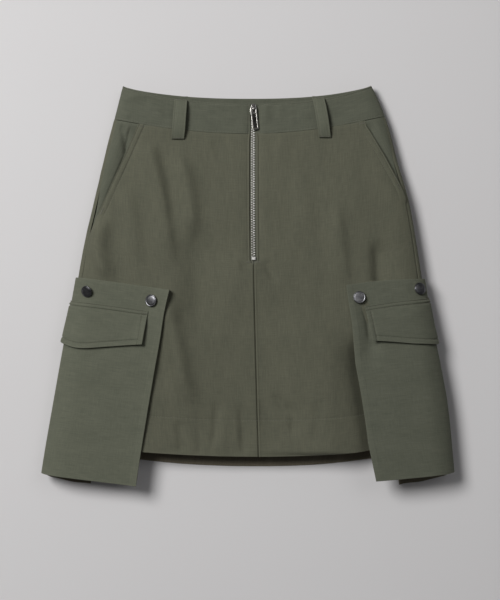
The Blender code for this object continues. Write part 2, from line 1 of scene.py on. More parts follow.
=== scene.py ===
# A cargo utility skirt in olive cotton twill, laid on its back on a pale board and seen from above.
# Sizes in the dictionaries are millimetres; the meshes are made in metres, +Y towards the waist.

import math

import bmesh
import bpy
import numpy as np
from mathutils import Matrix, Vector


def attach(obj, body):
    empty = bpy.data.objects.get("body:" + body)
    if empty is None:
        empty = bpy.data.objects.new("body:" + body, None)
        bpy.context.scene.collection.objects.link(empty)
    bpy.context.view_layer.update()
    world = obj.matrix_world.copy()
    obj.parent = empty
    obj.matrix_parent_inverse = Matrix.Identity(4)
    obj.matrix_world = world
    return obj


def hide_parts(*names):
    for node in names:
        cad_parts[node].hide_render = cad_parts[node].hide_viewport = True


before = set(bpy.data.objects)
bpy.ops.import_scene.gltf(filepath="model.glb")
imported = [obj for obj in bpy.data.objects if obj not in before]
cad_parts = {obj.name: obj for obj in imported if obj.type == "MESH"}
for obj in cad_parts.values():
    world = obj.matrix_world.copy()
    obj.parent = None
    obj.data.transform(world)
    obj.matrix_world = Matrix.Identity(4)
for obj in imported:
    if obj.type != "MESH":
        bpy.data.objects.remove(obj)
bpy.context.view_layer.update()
skirtBody = "skirt"
pullBody = "pull"
mm = 0.001
sides = {"left": -1, "right": 1}


def toLinear(hexColour):
    parts = [int(hexColour[i:i + 2], 16) / 255 for i in (1, 3, 5)]
    return tuple(p / 12.92 if p <= 0.04045 else ((p + 0.055) / 1.055) ** 2.4 for p in parts) + (1.0,)


def ease(at, start, end):  # 0 at start and 1 at end, eased at both
    t = np.clip((at - start) / (end - start), 0.0, 1.0)
    return t * t * (3 - 2 * t)


def bell(at, width):
    return np.exp(-((at / width) ** 2))


def softNoise(x, y, size, seed):  # smooth values from -1 to 1, one bump for each size
    table = np.random.RandomState(seed).uniform(-1, 1, (64, 64))
    gx, gy = np.asarray(x) / size, np.asarray(y) / size
    ix, iy = np.floor(gx).astype(int), np.floor(gy).astype(int)
    fx, fy = gx - ix, gy - iy
    fx, fy = fx * fx * (3 - 2 * fx), fy * fy * (3 - 2 * fy)
    low = table[ix % 64, iy % 64] * (1 - fx) + table[(ix + 1) % 64, iy % 64] * fx
    high = table[ix % 64, (iy + 1) % 64] * (1 - fx) + table[(ix + 1) % 64, (iy + 1) % 64] * fx
    return low * (1 - fy) + high * fy


def smoothTable(at, places, values):
    places, values = np.array(places, float), np.array(values, float)
    slopes = np.gradient(values, places)
    low = np.clip(np.searchsorted(places, at) - 1, 0, len(places) - 2)
    span = places[low + 1] - places[low]
    t = np.clip((at - places[low]) / span, 0.0, 1.0)
    beyond = at - places[low] - t * span
    ends = (2 * t**3 - 3 * t**2 + 1) * values[low] + (-2 * t**3 + 3 * t**2) * values[low + 1]
    bends = span * ((t**3 - 2 * t**2 + t) * slopes[low] + (t**3 - t**2) * slopes[low + 1])
    return ends + bends + beyond * np.where(beyond > 0, slopes[-1], slopes[0])


def valuesAt(at, along, values):  # three columns of values, read at the places along their line
    return np.stack([np.interp(at, along, values[:, k]) for k in range(3)], axis=-1)


def meshFrom(name, points, faces, smooth=True):  # points in millimetres; faces all with as many corners
    mesh = bpy.data.meshes.new(name)
    faces = np.asarray(faces, int)
    mesh.vertices.add(len(points))
    mesh.vertices.foreach_set("co", (np.asarray(points, float) * mm).ravel())
    mesh.loops.add(faces.size)
    mesh.loops.foreach_set("vertex_index", faces.ravel())
    mesh.polygons.add(len(faces))
    mesh.polygons.foreach_set("loop_start", np.arange(0, faces.size, faces.shape[1]))
    mesh.update(calc_edges=True)
    mesh.polygons.foreach_set("use_smooth", np.full(len(faces), smooth))
    return mesh


def tubeQuads(rings, count):  # the faces between rings of as many points
    steps = [(i, (i + 1) % count) for i in range(count)]
    return [[start + i, start + j, start + count + j, start + count + i]
            for start in range(0, (rings - 1) * count, count) for i, j in steps]


def meshOf(name, shape, smooth=True):  # a mesh from what bmesh made
    data = bpy.data.meshes.new(name)
    shape.to_mesh(data)
    shape.free()
    if smooth:
        data.shade_smooth()
    return data


# A piece with one material, or with one for its right side and one for its wrong side. Seat moves its mesh.
def addPiece(name, mesh, materials, body, replaced=(), seat=None):
    if seat is not None:
        mesh.transform(seat)
    piece = bpy.data.objects.new(name, mesh)
    bpy.context.scene.collection.objects.link(piece)
    for material in materials if isinstance(materials, tuple) else (materials,):
        mesh.materials.append(material)
    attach(piece, body)
    if replaced:
        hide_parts(*replaced)
    return piece


# The garment's outer face, as tables from the hem up: the sides and the centre line, measured from the
# origin, how far the front's middle stands over its sides (crown), and how far the back is off the board at
# the sides (sideLift).
skirtShape = {
    "y": [-275, -218, -150, -73, 10, 46, 109, 160, 212, 235, 262],
    "left": [266.0, 257.4, 245.6, 231.9, 216.8, 210.7, 197.0, 185.0, 171.9, 166.0, 159.0],
    "right": [259.0, 254.0, 247.0, 233.0, 218.8, 213.5, 202.5, 188.0, 174.0, 165.0, 152.0],
    "halfDepth": [17.0, 17.0, 17.0, 17.0, 16.5, 16.0, 15.0, 13.5, 12.0, 11.3, 11.0],
    "sideRound": [30, 30, 30, 29, 28, 27, 25, 24, 22, 21, 20],
    "crown": [-7.0, -7.0, -6.5, -4.5, 0.3, 1.0, 1.0, 0.0, -2.0, -3.0, -3.5],
    "sideLift": [4.8, 4.8, 4.9, 5.1, 5.4, 4.8, 3.4, 2.7, 2.5, 2.5, 2.5],
    "middle": (0.92, 0.15),  # of the places in these tables, which is the origin
    "centreY": [-275, -208, -131, -56, 14, 60, 262],
    "centreX": [13.8, 11.6, 9.4, 7.5, 5.9, 5.3, 5.3],
    "flatShare": 0.87,  # of the way to the side, before it rounds
    "sideSeam": 1.62,  # as girth: 1 is where the side starts to round and 2 its fold
    "seamGap": 0.006,
    "liftReach": (82.0, 112.0),  # from the sides in, over which the back comes down to the board
    "waistLift": 2.5,
    "waistLiftY": (145.0, 182.0),
    "slotHalf": 4.9,  # half the width between the fronts where the zip is
    "slotNarrows": (1.5, 184.0, 200.0),
    "slotEndY": 31.0,
    "slotClosedY": 26.5,
    "slotShut": 0.15,  # what is left between the fronts below the zip
}
# Each edge's height at the front's middle, its rise to the side and the power of that, the same for the
# back, and how much higher it is on the right.
skirtEdges = {
    "top": (231.0, 22.8, 2.3, 239.8, 15.2, 2.4, 0.3),
    "seam": (192.5, 21.0, 1.8, 197.5, 16.0, 1.8, 2.0),
    "hem": (-215.8, 22.0, 2.0, -231.0, 34.5, 2.3, 0.0),
}
bigFolds = [  # soft ridges from one end to the other: x0, y0, x1, y1, bow, width, height
    (-122, 178, -110, 84, 2, 10, 1.6),
    (-88, 176, -66, 92, 3, 10, 1.3),
    (-103, 22, -62, -172, -5, 15, 3.2),
    (110, 112, 120, 40, 1, 10, 1.3),
    (58, -96, 52, -176, 2, 11, 1.2),
    (-38, -150, -36, -232, 0, 9, 1.2),
    (20, -158, 24, -232, 0, 9, 1.0),
    (82, -150, 84, -232, 0, 10, 1.2),
]
# Finer ones: a line from the waist down, how far it falls to the left and right of it, its height (a hollow
# below zero), and the share of its length over which it fades in and out.
frontFolds = [
    ([(-127, 186), (-120, 152), (-111, 114), (-105, 80), (-100, 45), (-97, 10)],
     16.4, 8.2, 4.3, 0.12, 0.35),
    ([(-92, 173), (-82, 139), (-75, 105), (-73, 73), (-78, 45)], 13.8, 10.1, 4.5, 0.25, 0.35),
    ([(-106, -3), (-98, -49), (-90, -93), (-80, -134), (-72, -159)], 12.6, 10.7, 5.1, 0.25, 0.3),
    ([(-67, 89), (-64, 32), (-63, -18), (-59, -75)], 21.4, 37.8, -5.1, 0.35, 0.35),
    ([(-183, 93), (-190, 64), (-190, 39), (-184, 20), (-176, 2)], 7.6, 12.6, 5.4, 0.3, 0.25),
    ([(-158, 136), (-150, 98), (-144, 60), (-140, 22)], 12.6, 10.1, 2.2, 0.3, 0.3),
    ([(108, 108), (113, 64), (118, 30), (122, -3)], 15.1, 7.6, 2.5, 0.3, 0.25),
    ([(160, 63), (162, 35), (163, 3)], 7.6, 15.1, -5.1, 0.45, 0.02),  # pinched above the right cargo panel
    ([(138, -56), (142, -84), (145, -113), (150, -144), (155, -176), (160, -214)],
     16.0, 27.7, -10.5, 0.25, 0.02),
    ([(61, 161), (70, 108), (76, 55)], 15.1, 10.1, 1.4, 0.4, 0.4),
    ([(-10, 34), (-8, 24), (-5, 11)], 3.3, 5.0, -1.4, 0.15, 0.5),  # drawn in by the end of the zip
    ([(16, 34), (24, 20), (34, 0)], 4.0, 7.6, -2.0, 0.15, 0.5),
    ([(20, 192), (25, 175), (35, 155)], 3.8, 7.6, -1.0, 0.1, 0.5),
    ([(-46, 183), (-41, 168), (-34, 151)], 3.8, 7.6, -0.8, 0.1, 0.5),
    ([(-91, -166), (-88, -188), (-87, -209)], 3.8, 7.6, -1.4, 0.3, 0.05),  # drawn in by the hem's stitching
    ([(-67, -171), (-64, -189), (-63, -212)], 3.8, 6.3, -1.0, 0.3, 0.05),
    ([(-42, -141), (-43, -169), (-46, -204)], 3.8, 7.6, -1.7, 0.3, 0.2),
    ([(-12, -146), (-9, -175), (-8, -213)], 4.4, 7.6, -2.0, 0.3, 0.1),
    ([(15, -139), (19, -169), (24, -209)], 4.4, 8.8, -1.7, 0.3, 0.15),
    ([(29, -134), (39, -149), (50, -165)], 3.8, 7.6, -1.5, 0.3, 0.3),
    ([(48, -141), (53, -163), (56, -194)], 3.8, 7.6, -1.7, 0.3, 0.3),
    ([(84, -141), (84, -169), (81, -204)], 5.0, 7.6, -1.4, 0.3, 0.2),
    ([(-24, 45), (-22, -5), (-29, -56)], 25.2, 37.8, 1.8, 0.4, 0.4),
    ([(-92, -18), (-105, -81), (-115, -144)], 7.6, 15.1, -1.4, 0.3, 0.3),
    ([(64, -18), (59, -68), (64, -131)], 22.7, 15.1, 1.0, 0.4, 0.4),
    ([(118, 150), (125, 90), (130, 20)], 60.0, 25.0, 1.5, 0.3, 0.4),  # two broad ones on the right
    ([(75, -20), (90, -80), (98, -150), (102, -214)], 58.0, 24.0, 5.0, 0.3, 0.02),
]


def section(name, y):
    return smoothTable(y, skirtShape["y"], skirtShape[name])


def centreX(y):
    return smoothTable(y, skirtShape["centreY"], skirtShape["centreX"])


def reachOf(side, y):
    return np.where(side > 0, section("right", y), section("left", y)) - side * centreX(y)


def slotHalf(y):
    less, start, end = skirtShape["slotNarrows"]
    opened = skirtShape["slotHalf"] - less * ease(y, start, end)
    closed = ease(y, skirtShape["slotEndY"], skirtShape["slotClosedY"])
    return opened + (skirtShape["slotShut"] - opened) * closed


def foldHeight(folds, x, y):
    total = np.zeros(np.broadcast(x, y).shape)
    for x0, y0, x1, y1, bow, width, height in folds:
        length = math.hypot(x1 - x0, y1 - y0)
        rx, ry = (x1 - x0) / length, (y1 - y0) / length
        t = np.clip(((x - x0) * rx + (y - y0) * ry) / length, 0.0, 1.0)
        sideways = (y - y0) * rx - (x - x0) * ry - bow * 4 * t * (1 - t)
        total = total + height * np.sin(np.pi * t) ** 0.8 * bell(sideways, width)
    return total


def foldCurves(folds, x, y):  # the same for folds that are wider on one side
    total = np.zeros(np.broadcast(x, y).shape)
    for line, left, right, height, fadeIn, fadeOut in folds:
        (x0, y0), (x1, y1) = line[0], line[-1]
        if abs(x1 - x0) > abs(y1 - y0):  # it lies across, from left to right: its lower side comes first
            along, beside, points = x, y, [(b, a) for a, b in line]
        else:
            along, beside, points = y, x, line
        sideways, places = np.array(sorted(points, key=lambda point: point[1]), float).T
        t = (along - points[0][1]) / (points[-1][1] - points[0][1])
        away = beside - smoothTable(np.clip(along, places[0], places[-1]), places, sideways)
        shape = np.where(away < 0, bell(away, left), bell(away, right))
        total = total + height * shape * ease(t, 0.0, fadeIn) * ease(1 - t, 0.0, fadeOut)
    return total


def liftOf(inset, y):
    middle = skirtShape["waistLift"] * ease(y, *skirtShape["waistLiftY"])
    return middle + (section("sideLift", y) - middle) * (1 - ease(inset, *skirtShape["liftReach"]))


# Girth is 0 at the centre front, 1 where the side starts to round, 2 at its fold, 3 where the back starts
# and 4 at the centre back.
def shellPoint(side, girth, y):
    front = girth < 2
    q = np.where(front, girth, 4 - girth)
    reach, sideRound, half = reachOf(side, y), section("sideRound", y), section("halfDepth", y)
    angle = np.clip(2 - q, 0.0, 1.0) * (np.pi / 2)
    slot = np.where(front, slotHalf(y), 0.0)
    out = np.where(q < 1, slot + (reach - sideRound - slot) * q, reach - sideRound * (1 - np.cos(angle)))
    x = centreX(y) + side * out
    crown = section("crown", y) * 0.5 * (1 + np.cos(np.pi * np.clip(q, -1.0, 1.0)))
    upper = section("sideLift", y) + half * (1 + np.sin(angle)) + crown
    upper = upper + foldHeight(bigFolds, x, y) * (1 - ease(q, 0.85, 1.15))
    lower = liftOf(reach - out, y) + half * (1 - np.sin(angle))
    mx, my = skirtShape["middle"]
    return np.stack([x - mx, y - my, np.where(front, upper, lower)], axis=-1)


def ringPoint(side, girth, y, out=0.0):  # a point at a distance out from the shell, square to it
    side, girth, y, out = (np.array(a, float) for a in np.broadcast_arrays(side, girth, y, out))
    roundIt = shellPoint(side, girth + 0.02, y) - shellPoint(side, girth - 0.02, y)
    up = shellPoint(side, girth, y + 1.0) - shellPoint(side, girth, y - 1.0)
    normal = np.cross(roundIt, up) * side[..., None]
    normal /= np.linalg.norm(normal, axis=-1, keepdims=True)
    return shellPoint(side, girth, y) + normal * out[..., None]


def girthAt(side, out, y):
    reach, sideRound, slot = reachOf(side, y), section("sideRound", y), slotHalf(y)
    past = np.clip((out - reach + sideRound) / sideRound, 0.0, 1.0)
    flat = (out - slot) / (reach - sideRound - slot)
    return np.where(past > 0, 1 + np.arcsin(past) / (np.pi / 2), flat)


def edgeY(name, side, girth):
    frontY, frontRise, frontPower, backY, backRise, backPower, lean = skirtEdges[name]
    q = np.where(girth < 2, girth, 4 - girth)
    flatShare = skirtShape["flatShare"]
    rounded = flatShare + (1 - flatShare) * np.sin(np.clip(q - 1, 0.0, 1.0) * np.pi / 2)
    share = np.where(q < 1, flatShare * np.clip(q, 0.0, 1.0), rounded)
    front = frontY + frontRise * share ** frontPower
    back = backY + backRise * share ** backPower
    return np.where(girth < 2, front, back) + lean * side * share


def wayOf(side, girth, y, front=True):  # millimetres of cloth from the centre to a girth place, and back
    flat, quarter = flatAndQuarter(side, y, front)
    return np.where(girth < 1, girth * flat, flat + (girth - 1) * quarter)


def girthOf(side, way, y, front=True):
    flat, quarter = flatAndQuarter(side, y, front)
    return np.where(way < flat, way / flat, 1 + (way - flat) / quarter)


def flatAndQuarter(side, y, front=True):
    sideRound = section("sideRound", y)
    slot = slotHalf(y) if front else 0.0
    quarter = (np.pi / 2) * np.sqrt((sideRound**2 + section("halfDepth", y) ** 2) / 2)
    return reachOf(side, y) - sideRound - slot, quarter


def overFront(x, y, out=0.0):  # x to the right of the centre line
    x, y, out = (np.array(a, float) for a in np.broadcast_arrays(x, y, out))
    side = np.where(x < 0, -1, 1)
    return ringPoint(side, girthAt(side, np.abs(x), y), y, out)


# Places from edge to edge as (millimetres, share of the whole): near ones, even steps and far ones.
def run(near, steps, far):
    t = np.linspace(0.0, 1.0, steps + 1)[1:-1]
    fixed = np.concatenate([near, near[-1] * (1 - t) - far[0] * t, -np.array(far, float)])
    share = np.concatenate([np.zeros(len(near)), t, np.ones(len(far))])
    return fixed, share


hemmedEdge = [0, 0.1, 0.25, 0.45, 0.7, 1.0, 1.5]  # close enough to round a folded edge


# Places from an edge inwards, close to each other at each stitched line.
def edgeWith(*lines, last=4.0, start=hemmedEdge):
    places = list(start)
    for line in lines:
        places += [line - 1.6, line - 0.9, line - 0.45, line, line + 0.45, line + 0.9, line + 1.6]
    places = sorted(set(round(p, 3) for p in places if p >= 0) | {last})
    return np.array([p for i, p in enumerate(places) if i == 0 or p - places[i - 1] > 0.09])


clothFinish = {
    "foldWear": 0.55,  # how pale the folded edges are, and how far in from them
    "foldWearReach": 0.9,
    "seamWear": 0.15,  # how pale the cloth is at a row of stitches, and how dark beside it
    "seamDark": 0.3,
    "leastHalf": 0.04,  # so that an edge keeps some thickness
    "underReach": 0.6,  # how much of a fold the wrong side follows
}


# A closed piece of cloth from place(au, bu, av, bv, out), with folded edges and stitched lines. It gives
# back the outer points, their normals and their distances from the four edges, in millimetres.
def clothGrid(name, across, along, place, wall, relief, stitchLines=(), seed=1, pucker=0.16,
              turned=("start", "end", "top", "low"), turnWeave=False, inside=False):
    finish = clothFinish
    (au, bu), (av, bv) = across, along
    au, av = np.meshgrid(au, av)
    bu, bv = np.meshgrid(bu, bv)
    base = place(au, bu, av, bv, 0.0)
    under = place(au, bu, av, bv, -wall)
    normal = (base - under) / np.linalg.norm(base - under, axis=-1, keepdims=True)
    stepAcross = np.linalg.norm(np.diff(base, axis=1), axis=-1)
    stepAlong = np.linalg.norm(np.diff(base, axis=0), axis=-1)
    start = np.concatenate([np.zeros((base.shape[0], 1)), np.cumsum(stepAcross, axis=1)], axis=1)
    top = np.concatenate([np.zeros((1, base.shape[1])), np.cumsum(stepAlong, axis=0)], axis=0)
    dist = {"start": start, "end": start[:, -1:] - start, "top": top, "low": top[-1:] - top}
    out = np.zeros(start.shape) + relief(base, dist)
    wear = np.zeros(start.shape)
    for line in stitchLines:
        away = dist[line["edge"]] - line["inset"]
        way = top if line["edge"] in ("start", "end") else start
        near = ease(way, line.get("from", -1.0) - 1.0, line.get("from", -1.0) + 1.0)
        near = near * (1 - ease(way, line.get("to", 1e5) - 1.0, line.get("to", 1e5) + 1.0))
        out = out - near * line["depth"] * bell(away, line["width"])
        wavy = softNoise(way, away * 0 + seed, 4.2, seed + 3)
        wavy = wavy + 0.6 * softNoise(way, away * 0.3, 9.0, seed + 4)
        towardEdge = np.where(away < 0, bell(away, 0.5 * line["inset"] + 1.5), bell(away, 3.2))
        out = out + near * pucker * wavy * towardEdge
        wear = wear + near * finish["seamWear"] * bell(away, 0.9)
        wear = wear - near * finish["seamDark"] * bell(away + 1.3, 0.8)
    nearest = np.minimum(np.minimum(dist["start"], dist["end"]), np.minimum(dist["top"], dist["low"]))
    wear = wear + finish["foldWear"] * np.exp(-nearest / finish["foldWearReach"])
    half = wall / 2
    curve = np.full(start.shape, half)
    for edge, away in dist.items():
        radius = half if edge in turned else half * 0.3
        into = np.clip(away, 0.0, radius)
        bent = np.sqrt(np.clip(radius**2 - (radius - into) ** 2, 0.0, None))
        curve = np.minimum(curve, half - radius + bent)
    curve = np.maximum(curve, finish["leastHalf"])
    outer = base + normal * (out - half + curve)[..., None]
    inner = base + normal * (np.minimum(out, finish["underReach"]) - half - curve)[..., None]
    rows, cols = start.shape
    index = np.arange(rows * cols).reshape(rows, cols)
    quads = np.stack([index[:-1, :-1], index[:-1, 1:], index[1:, 1:], index[1:, :-1]], axis=-1)
    quads = quads.reshape(-1, 4)
    loop = np.concatenate([index[0, :], index[1:, -1], index[-1, -2::-1], index[-2:0:-1, 0]])
    rim = np.stack([loop, np.roll(loop, -1)], axis=-1)
    count = rows * cols
    rim = np.stack([rim[:, 1], rim[:, 0], rim[:, 0] + count, rim[:, 1] + count], axis=-1)
    faces = np.concatenate([quads, quads[:, ::-1] + count, rim])
    points = np.concatenate([outer.reshape(-1, 3), inner.reshape(-1, 3)])
    a, b, c, d = points[faces].transpose(1, 0, 2)
    volume = (a * np.cross(b, c)).sum() + (a * np.cross(c, d)).sum()
    if volume < 0:  # the faces look inwards
        faces = faces[:, ::-1]
    mesh = meshFrom(name, points, faces)
    threads = (top, start) if turnWeave else (start, -top)
    flat = np.stack([*threads, np.zeros_like(start)], axis=-1).reshape(-1, 3)
    cloth = mesh.attributes.new("cloth", "FLOAT_VECTOR", "POINT")
    # the wrong side has its own part of the pattern, and its own material where it can be seen
    cloth.data.foreach_set("vector", (np.concatenate([flat, flat + [0, 0, 40]]) * mm).ravel())
    if inside:
        counts = [len(quads), len(quads), len(rim)]
        mesh.polygons.foreach_set("material_index", np.repeat([0, 1, 0], counts))
    worn = mesh.attributes.new("wear", "FLOAT", "POINT")
    worn.data.foreach_set("value", np.clip(np.concatenate([wear.ravel(), wear.ravel()]), -1, 1))
    return {"mesh": mesh, "outer": outer, "normal": normal, "dist": dist,
            "area": float((stepAcross[:-1] * stepAlong[:, :-1]).sum()) / 1e6,
            "flat": (float(start[:, -1].max()) * mm, float(top[-1].max()) * mm)}


def lineOn(grid, edge, inset, start=None, end=None):  # points and normals at an inset from one of the edges
    dist = grid["dist"][edge]
    points, normals = grid["outer"], grid["normal"]
    if edge in ("top", "low"):
        dist, points, normals = dist.T, points.transpose(1, 0, 2), normals.transpose(1, 0, 2)
    if edge in ("end", "low"):
        dist, points, normals = dist[:, ::-1], points[:, ::-1], normals[:, ::-1]
    spots = np.array([[np.interp(inset, d, p[:, k]) for k in range(3)] for d, p in zip(dist, points)])
    ways = np.array([[np.interp(inset, d, n[:, k]) for k in range(3)] for d, n in zip(dist, normals)])
    along = np.concatenate([[0.0], np.cumsum(np.linalg.norm(np.diff(spots, axis=0), axis=-1))])
    low = 0.0 if start is None else (start if start >= 0 else along[-1] + start)
    high = along[-1] if end is None else (end if end > 0 else along[-1] + end)
    keep = np.linspace(low, high, max(int((high - low) / 0.8), 2))
    return valuesAt(keep, along, spots), valuesAt(keep, along, ways)


def addNode(tree, kind, settings=None, inputs=None):  # inputs are set, or linked where they are sockets
    node = tree.nodes.new(kind)
    for name, value in (settings or {}).items():
        setattr(node, name, value)
    for socket, value in (inputs or {}).items():
        if isinstance(value, bpy.types.NodeSocket):
            tree.links.new(value, node.inputs[socket])
        else:
            node.inputs[socket].default_value = value
    return node


bandScale = 0.31416  # the wave texture's scale for bands that are one unit apart


def newMaterial(name):
    material = bpy.data.materials.new(name)
    material.use_nodes = True
    tree = material.node_tree
    return material, tree, tree.nodes["Principled BSDF"]


# Cotton twill, piece dyed and garment washed: matt, with a fine diagonal line, slubs in both yarns and a
# little colour lost where the cloth is folded or stitched. Its lines are 0.6 mm apart, too fine to show, so
# they are drawn 1.5 mm apart.
twillLook = {
    "colour": "#5a5a4c",
    "deep": "#4c4d41",
    "worn": "#6a6a5c",
    "roughness": 0.88,
    "sheen": 0.22,
    "sheenColour": "#b4b59c",
    "lineMm": 1.5,
    "lineLean": 62.0,  # degrees
    "lineHeightMm": 0.05,
    "slubMm": 1.3,
    "grainMm": 0.9,
    "mottleMm": 17.0,
}
# The pieces cut across the roll are a shade cooler: painted sheen, for how the light catches them.
# The waistband, the pocket facings and the right cargo panel have a darker copy of it: painted shade.
# The wrong side is browner.
crossLook = {**twillLook, "colour": "#5d5f52", "deep": "#505347", "worn": "#6c6e60"}
shadedCrossLook = {**twillLook, "colour": "#585a4e", "deep": "#4b4e43", "worn": "#67695c"}
insideLook = {**twillLook, "colour": "#6f685a", "deep": "#5e594c", "worn": "#787264", "sheen": 0.1}


def wovenCottonTwill(name, look):
    material, tree, shader = newMaterial(name)
    cloth = addNode(tree, "ShaderNodeAttribute", {"attribute_name": "cloth"}).outputs["Vector"]
    inMm = addNode(tree, "ShaderNodeVectorMath", {"operation": "SCALE"},
                   {0: cloth, "Scale": 1000.0}).outputs[0]
    wear = addNode(tree, "ShaderNodeAttribute", {"attribute_name": "wear"}).outputs["Fac"]
    leaned = addNode(tree, "ShaderNodeMapping", {},
                     {"Vector": inMm, "Rotation": (0, 0, math.radians(look["lineLean"]))})
    lines = addNode(tree, "ShaderNodeTexWave", {"wave_type": "BANDS", "bands_direction": "X"},
                    {"Vector": leaned.outputs[0], "Scale": bandScale / look["lineMm"], "Distortion": 1.2,
                     "Detail": 2.0, "Detail Scale": 1.6})
    slubShape = {"Scale": 1 / look["slubMm"], "Detail": 3.0, "Roughness": 0.6}
    weft = addNode(tree, "ShaderNodeMapping", {}, {"Vector": inMm, "Scale": (0.09, 1.0, 1.0)})
    weftSlub = addNode(tree, "ShaderNodeTexNoise", {}, {"Vector": weft.outputs[0], **slubShape})
    warp = addNode(tree, "ShaderNodeMapping", {}, {"Vector": inMm, "Scale": (1.0, 0.07, 1.0)})
    warpSlub = addNode(tree, "ShaderNodeTexNoise", {}, {"Vector": warp.outputs[0], **slubShape})
    grain = addNode(tree, "ShaderNodeTexNoise", {},
                    {"Vector": inMm, "Scale": 1 / look["grainMm"], "Detail": 2.0})
    streak = addNode(tree, "ShaderNodeMapping", {}, {"Vector": inMm, "Scale": (1.0, 0.3, 1.0)})
    mottle = addNode(tree, "ShaderNodeTexNoise", {},
                     {"Vector": streak.outputs[0], "Scale": 1 / look["mottleMm"], "Detail": 4.0,
                      "Roughness": 0.6})
    # the warp's slubs show more than the weft's, and the dye is a little uneven over both
    slubs = addNode(tree, "ShaderNodeMath", {"operation": "MULTIPLY_ADD"},
                    {0: warpSlub.outputs["Fac"], 1: 1.35, 2: weftSlub.outputs["Fac"]}).outputs[0]
    soft = addNode(tree, "ShaderNodeMath", {"operation": "MULTIPLY"},
                   {0: mottle.outputs["Fac"], 1: 0.7}).outputs[0]
    tone = addNode(tree, "ShaderNodeMath", {"operation": "ADD"}, {0: slubs, 1: soft}).outputs[0]
    share = addNode(tree, "ShaderNodeMapRange", {}, {"Value": tone, "From Min": 1.15, "From Max": 1.9,
                                                     "To Min": 0.0, "To Max": 1.0}).outputs[0]
    dyed = addNode(tree, "ShaderNodeMix", {"data_type": "RGBA"},
                   {"Factor": share, "A": toLinear(look["deep"]),
                    "B": toLinear(look["colour"])}).outputs["Result"]
    wornShare = addNode(tree, "ShaderNodeMath", {"operation": "MULTIPLY"},
                        {0: wear, 1: grain.outputs["Fac"]}).outputs[0]
    washed = addNode(tree, "ShaderNodeMix", {"data_type": "RGBA", "clamp_factor": True},
                     {"Factor": wornShare, "A": dyed, "B": toLinear(look["worn"])}).outputs["Result"]
    height = addNode(tree, "ShaderNodeMath", {"operation": "MULTIPLY_ADD"},
                     {0: slubs, 1: 0.55, 2: lines.outputs["Fac"]}).outputs[0]
    height = addNode(tree, "ShaderNodeMath", {"operation": "MULTIPLY_ADD"},
                     {0: grain.outputs["Fac"], 1: 0.5, 2: height}).outputs[0]
    bump = addNode(tree, "ShaderNodeBump", {}, {"Height": height, "Strength": 0.85,
                                               "Distance": look["lineHeightMm"] * mm}).outputs[0]
    rough = addNode(tree, "ShaderNodeMapRange", {}, {"Value": slubs, "From Min": 0.6, "From Max": 1.4,
                                                     "To Min": look["roughness"] - 0.05,
                                                     "To Max": look["roughness"] + 0.05}).outputs[0]
    tree.links.new(washed, shader.inputs["Base Color"])
    tree.links.new(rough, shader.inputs["Roughness"])
    tree.links.new(bump, shader.inputs["Normal"])
    shader.inputs["Specular IOR Level"].default_value = 0.25
    shader.inputs["Sheen Weight"].default_value = look["sheen"]
    shader.inputs["Sheen Roughness"].default_value = 0.5
    shader.inputs["Sheen Tint"].default_value = toLinear(look["sheenColour"])
    return material


# Spun polyester sewing thread, dyed to match: a little brighter and shinier than the cloth, with painted
# light and shade on the turns of its plies.
threadLook = {"colour": "#5c5c4e", "dark": "#46473b", "roughness": 0.6, "sheen": 0.15, "pliesPerMm": 2.6}


def spunThread(name, look):
    material, tree, shader = newMaterial(name)
    place = addNode(tree, "ShaderNodeTexCoord").outputs["Object"]
    ply = addNode(tree, "ShaderNodeTexNoise", {},
                  {"Vector": place, "Scale": 1000 * look["pliesPerMm"], "Detail": 1.0})
    # the plies' turns are mixed light and dark in colour: painted highlight and shade
    tint = addNode(tree, "ShaderNodeMix", {"data_type": "RGBA"},
                   {"Factor": ply.outputs["Fac"], "A": toLinear(look["dark"]),
                    "B": toLinear(look["colour"])})
    bump = addNode(tree, "ShaderNodeBump", {},
                   {"Height": ply.outputs["Fac"], "Strength": 0.5, "Distance": 0.05 * mm})
    tree.links.new(tint.outputs["Result"], shader.inputs["Base Color"])
    tree.links.new(bump.outputs[0], shader.inputs["Normal"])
    shader.inputs["Roughness"].default_value = look["roughness"]
    shader.inputs["Sheen Weight"].default_value = look["sheen"]
    return material


# Woven polyester zip tape: ribbed along its length, smoother than the twill and with a little more gloss.
# Its ribs are painted light and the grooves between them dark: painted shade.
tapeLook = {"colour": "#5d5e50", "dark": "#4a4b3f", "roughness": 0.75, "ribMm": 0.9}


def wovenTape(name, look):
    material, tree, shader = newMaterial(name)
    place = addNode(tree, "ShaderNodeTexCoord").outputs["Object"]
    ribs = addNode(tree, "ShaderNodeTexWave", {"wave_type": "BANDS", "bands_direction": "X"},
                   {"Vector": place, "Scale": 1000 * bandScale / look["ribMm"], "Distortion": 0.6})
    # the grooves between the ribs are darker in colour: painted shade
    tint = addNode(tree, "ShaderNodeMix", {"data_type": "RGBA"},
                   {"Factor": ribs.outputs["Fac"], "A": toLinear(look["dark"]),
                    "B": toLinear(look["colour"])})
    bump = addNode(tree, "ShaderNodeBump", {},
                   {"Height": ribs.outputs["Fac"], "Strength": 0.7, "Distance": 0.08 * mm})
    tree.links.new(tint.outputs["Result"], shader.inputs["Base Color"])
    tree.links.new(bump.outputs[0], shader.inputs["Normal"])
    shader.inputs["Roughness"].default_value = look["roughness"]
    return material


# Metals. Nickel silver: the slider and pull are polished, so their flats are dark and their rounded edges
# bright, and the pull's sunk panel is painted nearly black, as painted shade; the teeth are tumbled, pale
# and dull. Brass with a black nickel plate, the finish called gunmetal: dark and satin.
nickelLook = {"clean": "#a5a39f", "dull": "#6b6966", "roughness": 0.17, "scratchMm": 0.5, "dullMm": 2.2}
